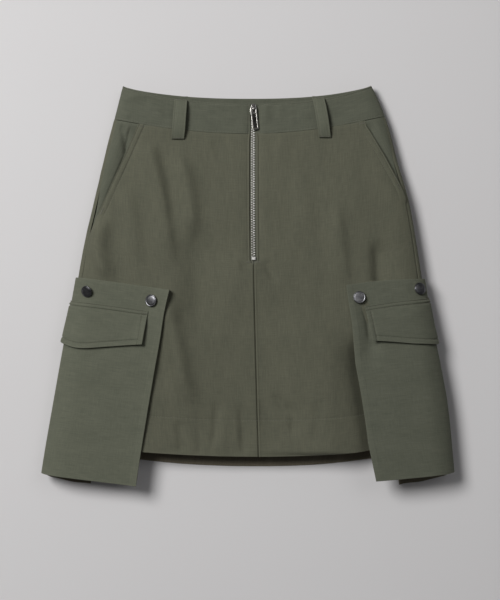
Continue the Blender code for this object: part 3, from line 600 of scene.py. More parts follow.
# the pull's sunk panel, nearly black: painted shade
shadedPanelLook = {**nickelLook, "clean": "#5c5a57", "dull": "#2e2d2b"}
toothLook = {"clean": "#c6c5c2", "dull": "#8d8c89", "roughness": 0.42, "scratchMm": 0.4, "dullMm": 1.5}
gunmetalLook = {"clean": "#6f6f71", "dull": "#4a4a4d", "roughness": 0.29, "scratchMm": 0.6, "dullMm": 4.5}


def platedMetal(name, look):
    material, tree, shader = newMaterial(name)
    place = addNode(tree, "ShaderNodeTexCoord").outputs["Object"]
    stain = addNode(tree, "ShaderNodeTexNoise", {},
                    {"Vector": place, "Scale": 1000 / look["dullMm"], "Detail": 5.0})
    scratch = addNode(tree, "ShaderNodeTexNoise", {},
                      {"Vector": place, "Scale": 1000 / look["scratchMm"], "Detail": 3.0, "Roughness": 0.7})
    share = addNode(tree, "ShaderNodeMapRange", {}, {"Value": stain.outputs["Fac"], "From Min": 0.3,
                                                     "From Max": 0.7}).outputs[0]
    tint = addNode(tree, "ShaderNodeMix", {"data_type": "RGBA"},
                   {"Factor": share, "A": toLinear(look["dull"]), "B": toLinear(look["clean"])})
    rough = addNode(tree, "ShaderNodeMapRange", {}, {"Value": scratch.outputs["Fac"], "From Min": 0.2,
                                                     "From Max": 0.8, "To Min": look["roughness"] - 0.06,
                                                     "To Max": look["roughness"] + 0.14})
    bump = addNode(tree, "ShaderNodeBump", {},
                   {"Height": scratch.outputs["Fac"], "Strength": 0.25, "Distance": 0.03 * mm})
    tree.links.new(tint.outputs["Result"], shader.inputs["Base Color"])
    tree.links.new(rough.outputs[0], shader.inputs["Roughness"])
    tree.links.new(bump.outputs[0], shader.inputs["Normal"])
    shader.inputs["Metallic"].default_value = 1.0
    return material


twill = wovenCottonTwill("woven cotton twill", twillLook)
crossTwill = wovenCottonTwill("woven cotton twill cut across", crossLook)
# a darker copy of the cut-across twill, as painted shade
shadedCrossTwill = wovenCottonTwill("woven cotton twill cut across, painted shade", shadedCrossLook)
# the right panel, which slopes away from the light, has the darker copy: painted shade
cargoTwill = {"left": crossTwill, "right": shadedCrossTwill}
insideTwill = wovenCottonTwill("woven cotton twill wrong side", insideLook)
thread = spunThread("spun polyester thread", threadLook)
tape = wovenTape("woven polyester zip tape", tapeLook)
nickel = platedMetal("polished nickel silver", nickelLook)
shadedPanelNickel = platedMetal("nickel silver painted dark as shade", shadedPanelLook)
toothNickel = platedMetal("tumbled nickel silver", toothLook)
gunmetal = platedMetal("black nickel plated brass", gunmetalLook)
print("materials made")


stitchKinds = {  # length, pitch and half thickness of the threads, and if they lie across the line
    "topstitch": (2.7, 3.3, 0.24, False),
    "tack": (2.1, 0.62, 0.26, True),
}
threadSides = 6
# along each thread, from one end to the other: share of its length, of its thickness, and height
threadShape = [(-0.5, 0.5, -0.24), (-0.34, 1.0, 0.02), (0.34, 1.0, 0.02), (0.5, 0.5, -0.24)]


def stitchMesh(name, lines):  # threads with sunk ends along each line, which is (points, normals, kind)
    ring = np.linspace(0, 2 * np.pi, threadSides, endpoint=False)
    each = len(threadShape) * threadSides
    quads = tubeQuads(len(threadShape), threadSides)
    quads += [[3, 2, 1, 0], [5, 4, 3, 0], [18, 19, 20, 21], [18, 21, 22, 23]]
    points, faces, total = [], [], 0
    for spots, ways, kind in lines:
        length, pitch, half, liesAcross = stitchKinds[kind]
        along = np.concatenate([[0.0], np.cumsum(np.linalg.norm(np.diff(spots, axis=0), axis=-1))])
        count = max(int(along[-1] / pitch), 1)
        centres = (np.arange(count) + 0.5) * along[-1] / count
        here, up = valuesAt(centres, along, spots), valuesAt(centres, along, ways)
        ahead = valuesAt(np.minimum(centres + 1, along[-1]), along, spots)
        ahead = ahead - valuesAt(np.maximum(centres - 1, 0), along, spots)
        ahead /= np.linalg.norm(ahead, axis=-1, keepdims=True)
        across = np.cross(up, ahead)
        across /= np.linalg.norm(across, axis=-1, keepdims=True)
        if liesAcross:
            ahead, across = across, -ahead
        corners = [here + ahead * place * length + across * (np.cos(angle) * half * size)
                   + up * (rise + np.sin(angle) * half * size * 0.8)
                   for place, size, rise in threadShape for angle in ring]
        points.append(np.stack(corners, axis=1).reshape(-1, 3))
        start = total + np.arange(len(here))[:, None, None] * each
        faces.append((np.array(quads)[None] + start).reshape(-1, 4))
        total += len(here) * each
    return meshFrom(name, np.concatenate(points), np.concatenate(faces))


# The stitching on one piece: rows of (edge, inset, start, end), and tacks of (points, normals).
def sewn(name, grid, rows, tacks=()):
    lines = [(*lineOn(grid, edge, inset, start, end), "topstitch") for edge, inset, start, end in rows]
    lines += [(spots, ways, "tack") for spots, ways in tacks]
    return addPiece(name, stitchMesh(name, lines), thread, skirtBody)


def linesFor(rows, depth=0.34, width=0.75):  # what clothGrid needs for the rows that sewn will stitch
    lines = []
    for edge, inset, start, end in rows:
        line = {"edge": edge, "inset": inset, "depth": depth, "width": width}
        if start is not None:
            line["from"] = start
        if end is not None and end > 0:
            line["to"] = end
        lines.append(line)
    return lines


frontPiece = {
    "wall": 0.9,
    "underBand": 0.3,  # how far it goes on under the waistband
    # the pocket openings' distance in from the sides, from their lower ends up
    "slant": {"left": ([64, 102, 115, 168, 207], [4.6, 13.0, 15.8, 27.0, 33.8]),
              "right": ([114, 124, 131, 164, 202], [4.6, 6.0, 7.6, 15.5, 28.6])},
    "pocketTop": 208.0,
    "pocketRow": {"left": 126.0, "right": 101.0},  # the length of the pocket openings' stitching
    "pocketStitch": 7.8,
    "pocketEdgeStitch": 1.7,
    "pocketFold": 0.45,
    "edgeLift": {"left": 0.3, "right": 1.0},
    "flyStitch": 2.4,
    "flyStitchLength": 164.0,
    "flyGroove": {"left": 0.7, "right": 1.1},
    "rowGroove": 0.6,
    "hemDepth": 46.0,
    "hemFold": 0.12,  # the doubled cloth of the hem, seen from outside
    "hemRise": 1.0,  # how far the hem stands out, and from how far above its edge
    "hemRiseReach": 44.0,
    "hemPucker": 0.32,
    "hemGroove": 0.3,
    "centreSunk": 1.5,  # the seam below the zip, and over what width its cloth turns in
    "centreSunkReach": {"left": 1.7, "right": 0.8},
    "centreRidge": {"left": 0.0, "right": 0.6},
    "centrePull": 0.16,
    "centreEndY": (22, 30),
    "topTuck": 0.4,
    "sideTuck": 0.8,
    "sideRipple": 0.22,
    "foldShare": 1.5,
    "unevenMm": 0.42,
}
facingPiece = {
    "wall": 0.8,
    "drop": 0.35,  # of its top edge from the waistband
    "lap": 18.0,  # how far it goes on under the front, and below the opening
    "below": 12.0,
    "depth": {"left": 5.2, "right": 3.6},
    "step": {"left": 2.6, "right": 0.0},  # how steeply the left one falls away low in its opening
    "folds": [([(-162.6, 203), (-158, 182), (-155.5, 166)], 3.0, 4.0, -3.0, 0.05, 0.1),
              ([(152, 200), (160, 180), (170, 160)], 5.0, 6.0, 0.8, 0.2, 0.4)],
    "unevenMm": 0.18,
}


def slantInset(word, y):
    return np.interp(y, *frontPiece["slant"][word])


def frontLimit(word, y):
    side, seam = sides[word], skirtShape["sideSeam"] - skirtShape["seamGap"]
    opening = girthAt(side, reachOf(side, y) - slantInset(word, y), y)
    return np.where(y > frontPiece["slant"][word][0][0], np.minimum(opening, seam), seam)


def tablePlace(points):  # where points are in the tables
    mx, my = skirtShape["middle"]
    return points[..., 0] + mx, points[..., 1] + my


def uneven(points, size, height, seed):  # waves in three sizes
    x, y = points[..., 0], points[..., 1]
    return height * (softNoise(x, y, size, seed) + 0.5 * softNoise(x, y, size * 0.45, seed + 1)
                     + 0.22 * softNoise(x, y, size * 0.2, seed + 2))


def makeFront(word):
    side = sides[word]
    look = frontPiece

    def place(au, bu, av, bv, out):
        girth = np.ones_like(au)
        for _ in range(5):  # the edges' heights and the places round the skirt settle together
            top = edgeY("seam", side, girth) + look["underBand"]
            y = top - (av + bv * (top - edgeY("hem", side, girth)))
            whole = wayOf(side, frontLimit(word, y), y)
            girth = girthOf(side, au + bu * whole, y)
        return ringPoint(side, girth, y, out)

    def relief(points, dist):
        x, y = tablePlace(points)
        fade = ease(dist["top"], 3, 16) * ease(dist["low"], -6, 6)
        folds = look["foldShare"] * foldCurves(frontFolds, x, y) * ease(dist["top"], 0, 10)
        waves = uneven(points, 46.0, look["unevenMm"], 11 + side) * fade
        hem = look["hemFold"] * (1 - ease(dist["low"], look["hemDepth"] - 1.0, look["hemDepth"] + 1.0))
        hem = hem + look["hemRise"] * (1 - ease(dist["low"], 0.0, look["hemRiseReach"]))
        puckers = softNoise(x, y * 0.16, 7.5, 31) * bell(dist["low"] - look["hemDepth"] + 4, 12.0)
        hem = hem + look["hemPucker"] * puckers * fade
        seam = -look["centreSunk"] * (1 - ease(dist["start"], 0.0, look["centreSunkReach"][word]))
        seam = seam + look["centreRidge"][word] * bell(dist["start"] - 1.9, 1.0)
        seam = seam + look["centrePull"] * softNoise(x * 0.2, y, 8.0, 33) * bell(dist["start"] - 2.5, 3.0)
        seam = seam * (1 - ease(y, *look["centreEndY"]))
        beside = y > look["pocketTop"] - look["pocketRow"][word]  # beside the pocket opening
        pocket = look["pocketFold"] * (1 - ease(dist["end"], look["pocketStitch"] - 0.8,
                                                look["pocketStitch"] + 0.8))
        pocket = pocket + look["edgeLift"][word] * (1 - ease(dist["end"], 0.0, 9.0)) * fade
        sideSeam = look["sideRipple"] * softNoise(x * 0.2, y, 14.0, 35) * bell(dist["end"] - 4, 7.0)
        sideSeam = sideSeam - look["sideTuck"] * (1 - ease(dist["end"], 0.0, 2.2))
        tucked = -look["topTuck"] * (1 - ease(dist["top"], 0.2, 2.4))
        return folds + waves + hem + seam + np.where(beside, pocket, sideSeam) + tucked

    pocketLength = look["pocketRow"][word]
    rows = [
        ("low", look["hemDepth"], None, None),
        ("start", look["flyStitch"], None, look["flyStitchLength"]),
        ("end", look["pocketStitch"], None, pocketLength),
        ("end", look["pocketEdgeStitch"], None, pocketLength),
    ]
    across = run(edgeWith(look["flyStitch"], last=14.0), 84,
                 edgeWith(look["pocketEdgeStitch"], look["pocketStitch"], last=14.0)[::-1])
    hemEdge = hemmedEdge + [4, 7, 10, 14, 18, 22, 26, 30, 34, 37, 40, 42, 44, 52, 56]
    along = run(edgeWith(last=5.0), 128, edgeWith(look["hemDepth"], last=60.0, start=hemEdge)[::-1])
    name = "front_panel_" + word
    grooves = linesFor(rows, look["rowGroove"], 0.95)
    grooves[0]["depth"] = look["hemGroove"]
    grooves[1]["depth"] = look["flyGroove"][word]
    grid = clothGrid(name, across, along, place, look["wall"], relief, grooves, seed=40 + side,
                     turned=("start", "end", "low"), inside=True)
    piece = addPiece(name, grid["mesh"], (twill, insideTwill), skirtBody, ["front_" + word])
    # bar tacks at both ends of the pocket opening and at the zip's lower end
    tacks = [lineOn(grid, "top", 3.2, -8.8, -0.8),
             lineOn(grid, "end", 3.6, pocketLength - 9.0, pocketLength),
             lineOn(grid, "top", look["flyStitchLength"], 0.3, 6.0)]
    stitches = sewn("front_stitching_" + word, grid, rows, tacks)


def makeFacing(word):
    side = sides[word]
    look = facingPiece
    low = frontPiece["slant"][word][0][0] - look["below"]

    def place(au, bu, av, bv, out):
        girth = np.full_like(au, skirtShape["sideSeam"])
        for _ in range(5):
            top = edgeY("seam", side, girth) - look["drop"]
            y = top - (av + bv * (top - low))
            reach = reachOf(side, y) - slantInset(word, y) - look["lap"]
            inner = wayOf(side, girthAt(side, reach, y), y)
            whole = wayOf(side, skirtShape["sideSeam"] - skirtShape["seamGap"], y) - inner
            girth = girthOf(side, inner + au + bu * whole, y)
        angle = np.clip(2 - girth, 0.0, 1.0) * np.pi / 2
        inset = np.where(girth < 1, 99.0, section("sideRound", y) * (1 - np.cos(angle)))
        shown = slantInset(word, y) - 4.0 - inset  # how far the place is out of the front's shade
        sunk = 0.2 + 0.8 * ease(top - y, 1.0, 8.0)
        sunk = sunk + (look["depth"][word] - 1.0) * ease(top - y, 1.0, 16.0) * ease(y, low + 14, low + 50)
        steep = look["step"][word] * (1 - ease(y, 150, 178)) * ease(y, low + 12, low + 30)
        sunk = sunk * (1 - ease(shown, -6.0, 14.0)) + steep * (1 - ease(shown, -5.0, 1.0))
        return ringPoint(side, girth, y, out - sunk)

    def relief(points, dist):
        x, y = tablePlace(points)
        creases = foldCurves(look["folds"], x, y)
        return (uneven(points, 22.0, look["unevenMm"], 71 + side) + creases) * ease(dist["end"], 0, 3)

    name = "pocket_facing_" + word + "_cloth"
    across = run(edgeWith(last=4.0), 26, edgeWith(last=4.0)[::-1])
    along = run(edgeWith(last=4.0), 50, edgeWith(last=4.0)[::-1])
    grid = clothGrid(name, across, along, place, look["wall"], relief, seed=60 + side)
    # the facings have the darker copy of the twill: painted shade
    piece = addPiece(name, grid["mesh"], shadedCrossTwill, skirtBody, ["pocket_facing_" + word])


backPiece = {
    "wall": 0.9,
    "underBand": 0.3,
    "hemDepth": 48.0,
    "seamStitch": 1.8,
    "creaseMm": 0.35,  # where it lies on the board
    "seamTuck": {"top": 0.45, "side": 0.8},
}
waistbandPiece = {
    "wall": 1.6,
    "aboveSeam": 0.05,
    "edgeStitch": 2.2,
    "seamStitch": 2.0,
    "flyStitch": 2.8,
    "rowGroove": 0.45,
    "seamGroove": 0.3,
    # how deep the cloth is sunk beside the zip's slider, and how far from it
    "besideZip": {"left": (1.3, 5.0), "right": (2.4, 7.5)},
    "stand": 0.35,
    "foldShare": 1.8,
    "smallFolds": 0.3,
    "unevenMm": 0.3,
    "folds": [
        ([(-164, 234), (-145, 240), (-126, 242), (-105, 238)], 3.8, 5.1, 0.8, 0.2, 0.3),
        ([(-131, 231), (-118, 222), (-105, 211)], 5.1, 8.9, 0.9, 0.3, 0.4),
        ([(-155, 214), (-145, 207), (-134, 200)], 6.3, 5.1, -1.0, 0.3, 0.3),
        ([(-65, 226), (-37, 229), (-5, 231)], 6.3, 3.8, 0.7, 0.3, 0.2),
        ([(22, 235), (21, 220), (17, 201)], 5.1, 6.3, 1.0, 0.1, 0.3),
        ([(43, 236), (38, 220), (40, 205)], 5.1, 6.3, 0.5, 0.2, 0.3),
        ([(59, 222), (69, 215), (79, 210)], 6.3, 6.3, 0.5, 0.3, 0.3),
        ([(-67, 212), (-57, 205), (-45, 200)], 5.1, 5.1, 0.5, 0.3, 0.3),
    ],
}


def roundTheBack(y, au, bu):  # from the left side seam to the right one, as side and girth
    ways = {}
    for side in (-1, 1):
        seam = np.full_like(y, 4 - skirtShape["sideSeam"] - skirtShape["seamGap"])
        ways[side] = wayOf(side, seam, y, front=False)
    whole = ways[-1] + ways[1]
    at = au + bu * whole - ways[-1]
    side = np.where(at < 0, -1, 1)
    q = girthOf(side, np.abs(at), y, front=False)
    return side, 4 - q


def makeBack():
    look = backPiece

    def place(au, bu, av, bv, out):
        girth = np.full_like(au, 3.0)
        side = np.where(bu < 0.5, -1, 1)
        for _ in range(6):
            top = edgeY("seam", side, girth) + look["underBand"]
            y = top - (av + bv * (top - edgeY("hem", side, girth)))
            side, girth = roundTheBack(y, au, bu)
        return ringPoint(side, girth, y, out)

    def relief(points, dist):
        x, y, z = points[..., 0], points[..., 1], points[..., 2]
        offBoard = ease(z, 3.0, 9.0)
        waves = 0.3 * softNoise(x, y * 0.5, 30.0, 91) + 0.15 * softNoise(x, y, 12.0, 92)
        creases = -look["creaseMm"] * np.abs(softNoise(x * 0.4, y, 34.0, 93))
        seams = look["seamTuck"]["top"] * (1 - ease(dist["top"], 0.2, 1.4))
        for edge in ("start", "end"):
            seams = seams + look["seamTuck"]["side"] * (1 - ease(dist[edge], 0.0, 2.2))
        return waves * offBoard + creases * (1 - offBoard) - seams

    rows = [("low", look["hemDepth"], None, None), ("top", look["seamStitch"], None, None)]
    across = run(edgeWith(last=5.0), 150, edgeWith(last=5.0)[::-1])
    hemEdge = hemmedEdge + [4, 8, 13, 18, 23, 28, 33, 38, 42]
    along = run(edgeWith(look["seamStitch"], last=6.0), 110,
                edgeWith(look["hemDepth"], last=54.0, start=hemEdge)[::-1])
    grid = clothGrid("back_panel", across, along, place, look["wall"], relief, linesFor(rows), seed=80,
                     turned=("start", "end", "low"), inside=True)
    piece = addPiece("back_panel", grid["mesh"], (twill, insideTwill), skirtBody, ["back"])
    stitches = sewn("back_stitching", grid, rows)


def makeWaistband():
    look = waistbandPiece
    for word, side in sides.items():

        def place(au, bu, av, bv, out, side=side):
            girth = np.ones_like(au)
            for _ in range(5):
                top = edgeY("top", side, girth)
                y = top - (av + bv * (top - edgeY("seam", side, girth) - look["aboveSeam"]))
                whole = wayOf(side, skirtShape["sideSeam"] - skirtShape["seamGap"], y)
                girth = girthOf(side, au + bu * whole, y)
            return ringPoint(side, girth, y, out)

        def relief(points, dist, word=word, side=side):
            x, y = tablePlace(points)
            folds = look["foldShare"] * foldCurves(look["folds"], x, y)
            folds = folds * ease(dist["low"], 0, 5) * ease(dist["top"], 0, 3)
            deep, wide = look["besideZip"][word]
            sunk = -deep * (1 - ease(dist["start"], 0.5, wide)) * ease(dist["top"], 0.5, 5.0)
            # small folds come in patches
            patches = 0.4 + ease(softNoise(x, y, 26.0, 107), -0.2, 0.6)
            small = look["smallFolds"] * softNoise(x * 0.6, y, 5.5, 105 + side) * patches
            return uneven(points, 30.0, look["unevenMm"], 101 + side) + small + folds + sunk + look["stand"]

        rows = [("top", look["edgeStitch"], None, None), ("low", look["seamStitch"], None, None),
                ("start", look["flyStitch"], None, None)]
        across = run(edgeWith(look["flyStitch"], last=11.0), 60, edgeWith(last=5.0)[::-1])
        along = run(edgeWith(look["edgeStitch"], last=5.0), 12,
                    edgeWith(look["seamStitch"], last=5.0)[::-1])
        name = f"waistband_{word}_cloth"
        grooves = linesFor(rows, look["rowGroove"], 0.9)
        grooves[1]["depth"] = look["seamGroove"]
        grid = clothGrid(name, across, along, place, look["wall"], relief, grooves, seed=110 + side,
                         turned=("start", "top", "low"), turnWeave=True)
        # the waistband has the darker copy of the twill: painted shade
        piece = addPiece(name, grid["mesh"], shadedCrossTwill, skirtBody, ["waistband_front_" + word])
        stitches = sewn("waistband_stitching_" + word, grid, rows)

    def placeBack(au, bu, av, bv, out):
        girth = np.full_like(au, 3.0)
        side = np.where(bu < 0.5, -1, 1)
        for _ in range(6):
            top = edgeY("top", side, girth)
            y = top - (av + bv * (top - edgeY("seam", side, girth) - look["aboveSeam"]))
            side, girth = roundTheBack(y, au, bu)
        return ringPoint(side, girth, y, out)

    def reliefBack(points, dist):
        return 0.2 * softNoise(points[..., 0], points[..., 1], 24.0, 121) * ease(points[..., 2], 3.0, 9.0)

    rows = [("top", look["edgeStitch"], None, None), ("low", look["seamStitch"], None, None)]
    across = run(edgeWith(last=5.0), 120, edgeWith(last=5.0)[::-1])
    along = run(edgeWith(look["edgeStitch"], last=5.0), 10, edgeWith(look["seamStitch"], last=5.0)[::-1])
    grid = clothGrid("waistband_back_cloth", across, along, placeBack, look["wall"], reliefBack,
                     linesFor(rows, 0.3), seed=120, turned=("top",), turnWeave=True)
    # the darker copy of the twill: painted shade
    piece = addPiece("waistband_back_cloth", grid["mesh"], shadedCrossTwill, skirtBody,
                     ["waistband_back"])
    stitches = sewn("waistband_stitching_back", grid, rows)


loopPiece = {
    "wall": 1.5,
    "belowSeam": 12.5,  # how far its foot is below the waistband
    "arch": 7.5,  # how high the front ones stand off the waistband at their middle
    "stitch": 2.4,
    "tackInset": 2.2,
    "gap": 0.35,
    "solidWall": 1.6,
    "crown": 0.25,
    # side, girth at the top and at the foot, width, how far above the edge it starts, and if it arches
    "places": {
        "front_left": (-1, 0.603, 0.581, 16.8, 0.0, True),
        "front_right": (1, 0.588, 0.579, 15.6, 2.5, True),
        "back_left": (-1, 3.38, 3.4, 16.5, 0.0, False),
        "back_centre": (1, 4.0, 4.0, 16.5, 0.0, False),
        "back_right": (1, 3.38, 3.4, 16.5, 0.0, False),
    },
}


def makeLoop(word):
    look = loopPiece
    side, topGirth, lowGirth, width, above, arched = look["places"][word]
    toward = 1 if topGirth < 2 else -1
    topY = float(edgeY("top", side, np.array(topGirth))) + above
    lowY = float(edgeY("seam", side, np.array(lowGirth))) - look["belowSeam"]

    def place(au, bu, av, bv, out):
        share = np.clip((av + bv * (topY - lowY)) / (topY - lowY), 0.0, 1.0)
        y = topY + (lowY - topY) * share
        across = au + (bu - 0.5) * width
        middle = topGirth + (lowGirth - topGirth) * share
        flat = reachOf(side, y) - section("sideRound", y)
        rise = look["gap"] + look["solidWall"]
        rise = rise + (look["arch"] if arched else 0.0) * np.sin(np.pi * share) ** 0.6
        return ringPoint(side, middle + toward * across / flat, y, rise + out)

    def relief(points, dist):
        if not arched:  # pressed flat by what lies on it
            return 0.0 * dist["start"]
        return uneven(points, 12.0, 0.12, 131) + look["crown"] * bell(dist["start"] - width / 2, 5.0)

    rows = [("start", look["stitch"], None, None), ("end", look["stitch"], None, None)]
    across = run(edgeWith(look["stitch"], last=5.0), 6, edgeWith(look["stitch"], last=5.0)[::-1])
    along = run(edgeWith(look["tackInset"], last=5.0), 34, edgeWith(look["tackInset"], last=5.0)[::-1])
    name = f"belt_loop_{word}_cloth"
    grid = clothGrid(name, across, along, place, look["wall"], relief, linesFor(rows, 0.26), seed=130,
                     pucker=0.06)
    piece = addPiece(name, grid["mesh"], crossTwill, skirtBody, ["belt_loop_" + word])
    tacks = [lineOn(grid, edge, look["tackInset"], 1.8, width - 1.8) for edge in ("top", "low")]
    stitches = sewn("belt_loop_stitching_" + word, grid, rows, tacks)


# Places on a panel are roundIt, from the side fold towards the front, and down, from its top edge. Bow is
# the front edge's curve and flare how far its lower half stands off the front.
cargoPieces = {
    "left": {
        "foldY": 10.2, "lean": math.radians(10.4), "lead": 126.1, "width": 194.0, "height": 252.0,
        "topDrop": 14.1, "topPower": 1.15, "lowDrop": 13.5, "backDrop": 28.0,
        "bow": [1.8, 1.6, 1.0, 1.3, 1.9, 2.2], "stand": 1.0, "flare": 1.0, "frontStand": 0.0,
        "flapLead": 105.7, "flapTop": 30.0, "flapSlant": 0.0, "flapEdgeLift": 3.6, "flapTilt": 0.0,
        "flapLean": 0.0, "flapFlare": 2.6, "endDrop": 42.7, "pointDrop": 59.0,
        "snaps": {"front": (107.2, 16.5), "side": (27.0, 16.3), "back": (-53.0, 16.0)},
        "creases": [(28, 108, 84, 62, 2, 5.5, -0.7), (20, 150, 70, 96, -2, 12, 0.7)],
    },
    "right": {
        "foldY": 8.4, "lean": math.radians(8.6), "lead": 108.5, "width": 182.0, "height": 247.5,
        "topDrop": 9.8, "topPower": 2.2, "lowDrop": 10.3, "backDrop": 31.0,
        "bow": [-1.8, -0.8, 4.2, 4.2, 2.6, -3.2], "stand": 1.5, "flare": 5.5, "frontStand": 6.0,
        "flapLead": 88.0, "flapTop": 24.4, "flapSlant": 0.06, "flapEdgeLift": 0.0, "flapTilt": 3.4,
        "flapLean": 0.045, "flapFlare": 0.9, "endDrop": 42.8, "pointDrop": 60.2,
        "snaps": {"front": (92.5, 17.5), "side": (18.3, 12.5), "back": (-58.0, 16.0)},
        "creases": [(16, 60, 20, 200, 2, 12, 0.6), (60, 100, 72, 220, 3, 16, 0.6)],
    },
}
cargoCloth = {
    "wall": 1.5,
    "solidWall": 2.0,
    "reach": 110.0,
    "gap": 0.35,
    "turnedEdge": 8.0,
    "turnedFold": 0.25,
    "backSag": 4.0,
    "backStand": 1.9,
    "wide": 42.0,  # how far from the front edge the cloth curls
    "curl": (0.7, 1.8),  # the left one's edge and wide curl, and its top corner's
    "cornerCurl": 7.5,
    "cornerReach": 27.0,
    "fall": (0.8, 1.0, 1.6),  # the right one's, at its edge and wide, and how much more it is lower down
    "hollow": 5.6,  # between the right one's edge and its flap
    "flapCrease": 1.9,
    "snapDimple": 0.5,
    "waves": (0.35, 0.16),
}
flapCloth = {
    "wall": 1.5,
    "solidWall": 1.8,
    "width": 155.0,
    "edgeStitch": 6.2,
    "topStitch": 6.0,
    "foldStitch": 1.7,
    "rowGroove": 1.05,
    "topGroove": 1.5,
    "doubled": 0.2,
    "topTuck": 0.5,
    "pointSoft": 0.004,  # how much the turn of the cloth rounds the point
    "tack": (3.8, 1.2, 7.4),
}


def cargoPoint(word, roundIt, down, out):
    cargo, side = cargoPieces[word], sides[word]
    share = down / cargo["height"]
    way, onFront = np.abs(roundIt), roundIt > 0
    lowDrop = np.where(onFront, cargo["lowDrop"], cargo["backDrop"])
    y = cargo["foldY"] - down * math.cos(cargo["lean"])
    for _ in range(4):
        sideRound = section("sideRound", y)
        quarter = (np.pi / 2) * np.sqrt((sideRound**2 + section("halfDepth", y) ** 2) / 2)
        angle = np.clip(way / quarter, 0.0, 1.0) * np.pi / 2
        flatWay = np.clip(way - quarter, 0.0, None)
        reached = (sideRound * (1 - np.cos(angle)) + flatWay) / cargoCloth["reach"]
        drop = cargo["topDrop"] * reached ** cargo["topPower"] * (1 - share) + lowDrop * reached * share
        y = cargo["foldY"] - down * math.cos(cargo["lean"]) - drop
    slot = np.where(onFront, slotHalf(y), 0.0)
    q = np.where(way < quarter, 2 - way / quarter, 1 - flatWay / (reachOf(side, y) - sideRound - slot))
    return ringPoint(side, np.where(onFront, q, 4 - q), y, out)


def cargoStand(word, roundIt, down):  # how far the panel's inner face is off the skirt
    cargo = cargoPieces[word]
    front = cargo["flare"] * ease(roundIt, -10.0, 45.0) * ease(down, 14.0, 120.0)
    front = front + cargo["frontStand"] * np.clip(roundIt / 110.0, 0.0, 1.2) * ease(down, 0.0, 80.0)
    fold = cargo["stand"] * bell(roundIt, np.where(roundIt > 0, 34.0, 20.0))
    back = cargoCloth["backStand"] * ease(roundIt, -28.0, -48.0) * ease(down, 96.0, 120.0)
    return cargoCloth["gap"] + front + fold + back


def panelWaves(word, roundIt, down):  # how the hanging panel's cloth is bent out of its plain form
    seed = 150 + sides[word]
    wide, narrow = cargoCloth["waves"]
    waves = wide * softNoise(roundIt, down, 52.0, seed) + narrow * softNoise(roundIt, down, 20.0, seed + 1)
    creases = foldHeight(cargoPieces[word]["creases"], roundIt, down)
    return (waves * ease(down, 6, 40) + creases) * ease(roundIt, 0.0, 30.0)


def leftCurl(look, edge, wide, fromEdge, down):  # its front edge curls up, most at the top corner
    edgeCurl, wideCurl = look["curl"]
    corner = np.clip(1 - fromEdge / look["cornerReach"], 0.0, 1.0) ** 2 * (1 - ease(down, 10.0, 90.0))
    return edge * edgeCurl + wide * wideCurl + corner * look["cornerCurl"] * ease(down, -8.0, 4.0)


# Its front edge falls, with a hollow between the edge and the flap, and a crease along the flap's end.
def rightFall(look, cargo, edge, wide, fromEdge, roundIt, down):
    edgeFall, wideFall, more = look["fall"]
    fall = (edge * edgeFall + wide * (wideFall + more * down / cargo["height"])) * ease(down, 0.0, 70.0)
    hollow = look["hollow"] * bell(fromEdge - 21, 11) * ease(down, 12, 34) * (1 - ease(down, 80, 120))
    away = roundIt - cargo["flapLead"] + cargo["flapLean"] * (down - 30.0) - 2.2
    crease = look["flapCrease"] * bell(away, 2.3) * ease(down, 26, 38) * (1 - ease(down, 66, 76))
    return -fall - hollow - crease


def makeCargoPanel(word):
    cargo, look = cargoPieces[word], cargoCloth

    def place(au, bu, av, bv, out):
        down = av + bv * cargo["height"]
        bow = np.interp(down / cargo["height"], np.linspace(0.0, 1.0, 6), cargo["bow"])
        roundIt = cargo["lead"] + bow * (1 - bu) - (au + bu * cargo["width"])
        rise = cargoStand(word, roundIt, down) + look["solidWall"]
        sag = look["backSag"] * ease(-roundIt, 0.0, 22.0) * (1 - ease(-roundIt, 40.0, 72.0))
        return cargoPoint(word, roundIt, down + sag * (down / cargo["height"]) ** 3, rise + out)

    def relief(points, dist):
        fromEdge = dist["start"]
        roundIt, down = cargo["lead"] - fromEdge, dist["top"]
        edge = np.clip(1 - fromEdge / look["turnedEdge"], 0.0, 1.0)
        wide = np.clip(1 - fromEdge / look["wide"], 0.0, 1.0) ** 2
        turned = 1 - ease(fromEdge, look["turnedEdge"] - 1.0, look["turnedEdge"] + 0.6)
        turned = turned * look["turnedFold"]
        if word == "left":
            turned = turned + leftCurl(look, edge, wide, fromEdge, down)
        else:
            turned = turned + rightFall(look, cargo, edge, wide, fromEdge, roundIt, down)
        for r, d in cargo["snaps"].values():
            turned = turned - look["snapDimple"] * bell(np.hypot(roundIt - r, down - d) - 9.5, 3.0)
        return panelWaves(word, roundIt, down) + turned * ease(roundIt, -15.0, 20.0)

    across = run(edgeWith(look["turnedEdge"], last=11.0), 124, edgeWith(last=5.0)[::-1])
    along = run(edgeWith(last=5.0), 112, edgeWith(last=5.0)[::-1])
    name = f"cargo_panel_{word}_cloth"
    grid = clothGrid(name, across, along, place, look["wall"], relief, seed=160 + sides[word],
                     turnWeave=True, inside=True)
    piece = addPiece(name, grid["mesh"], (cargoTwill[word], insideTwill), skirtBody,
                     ["cargo_panel_" + word])


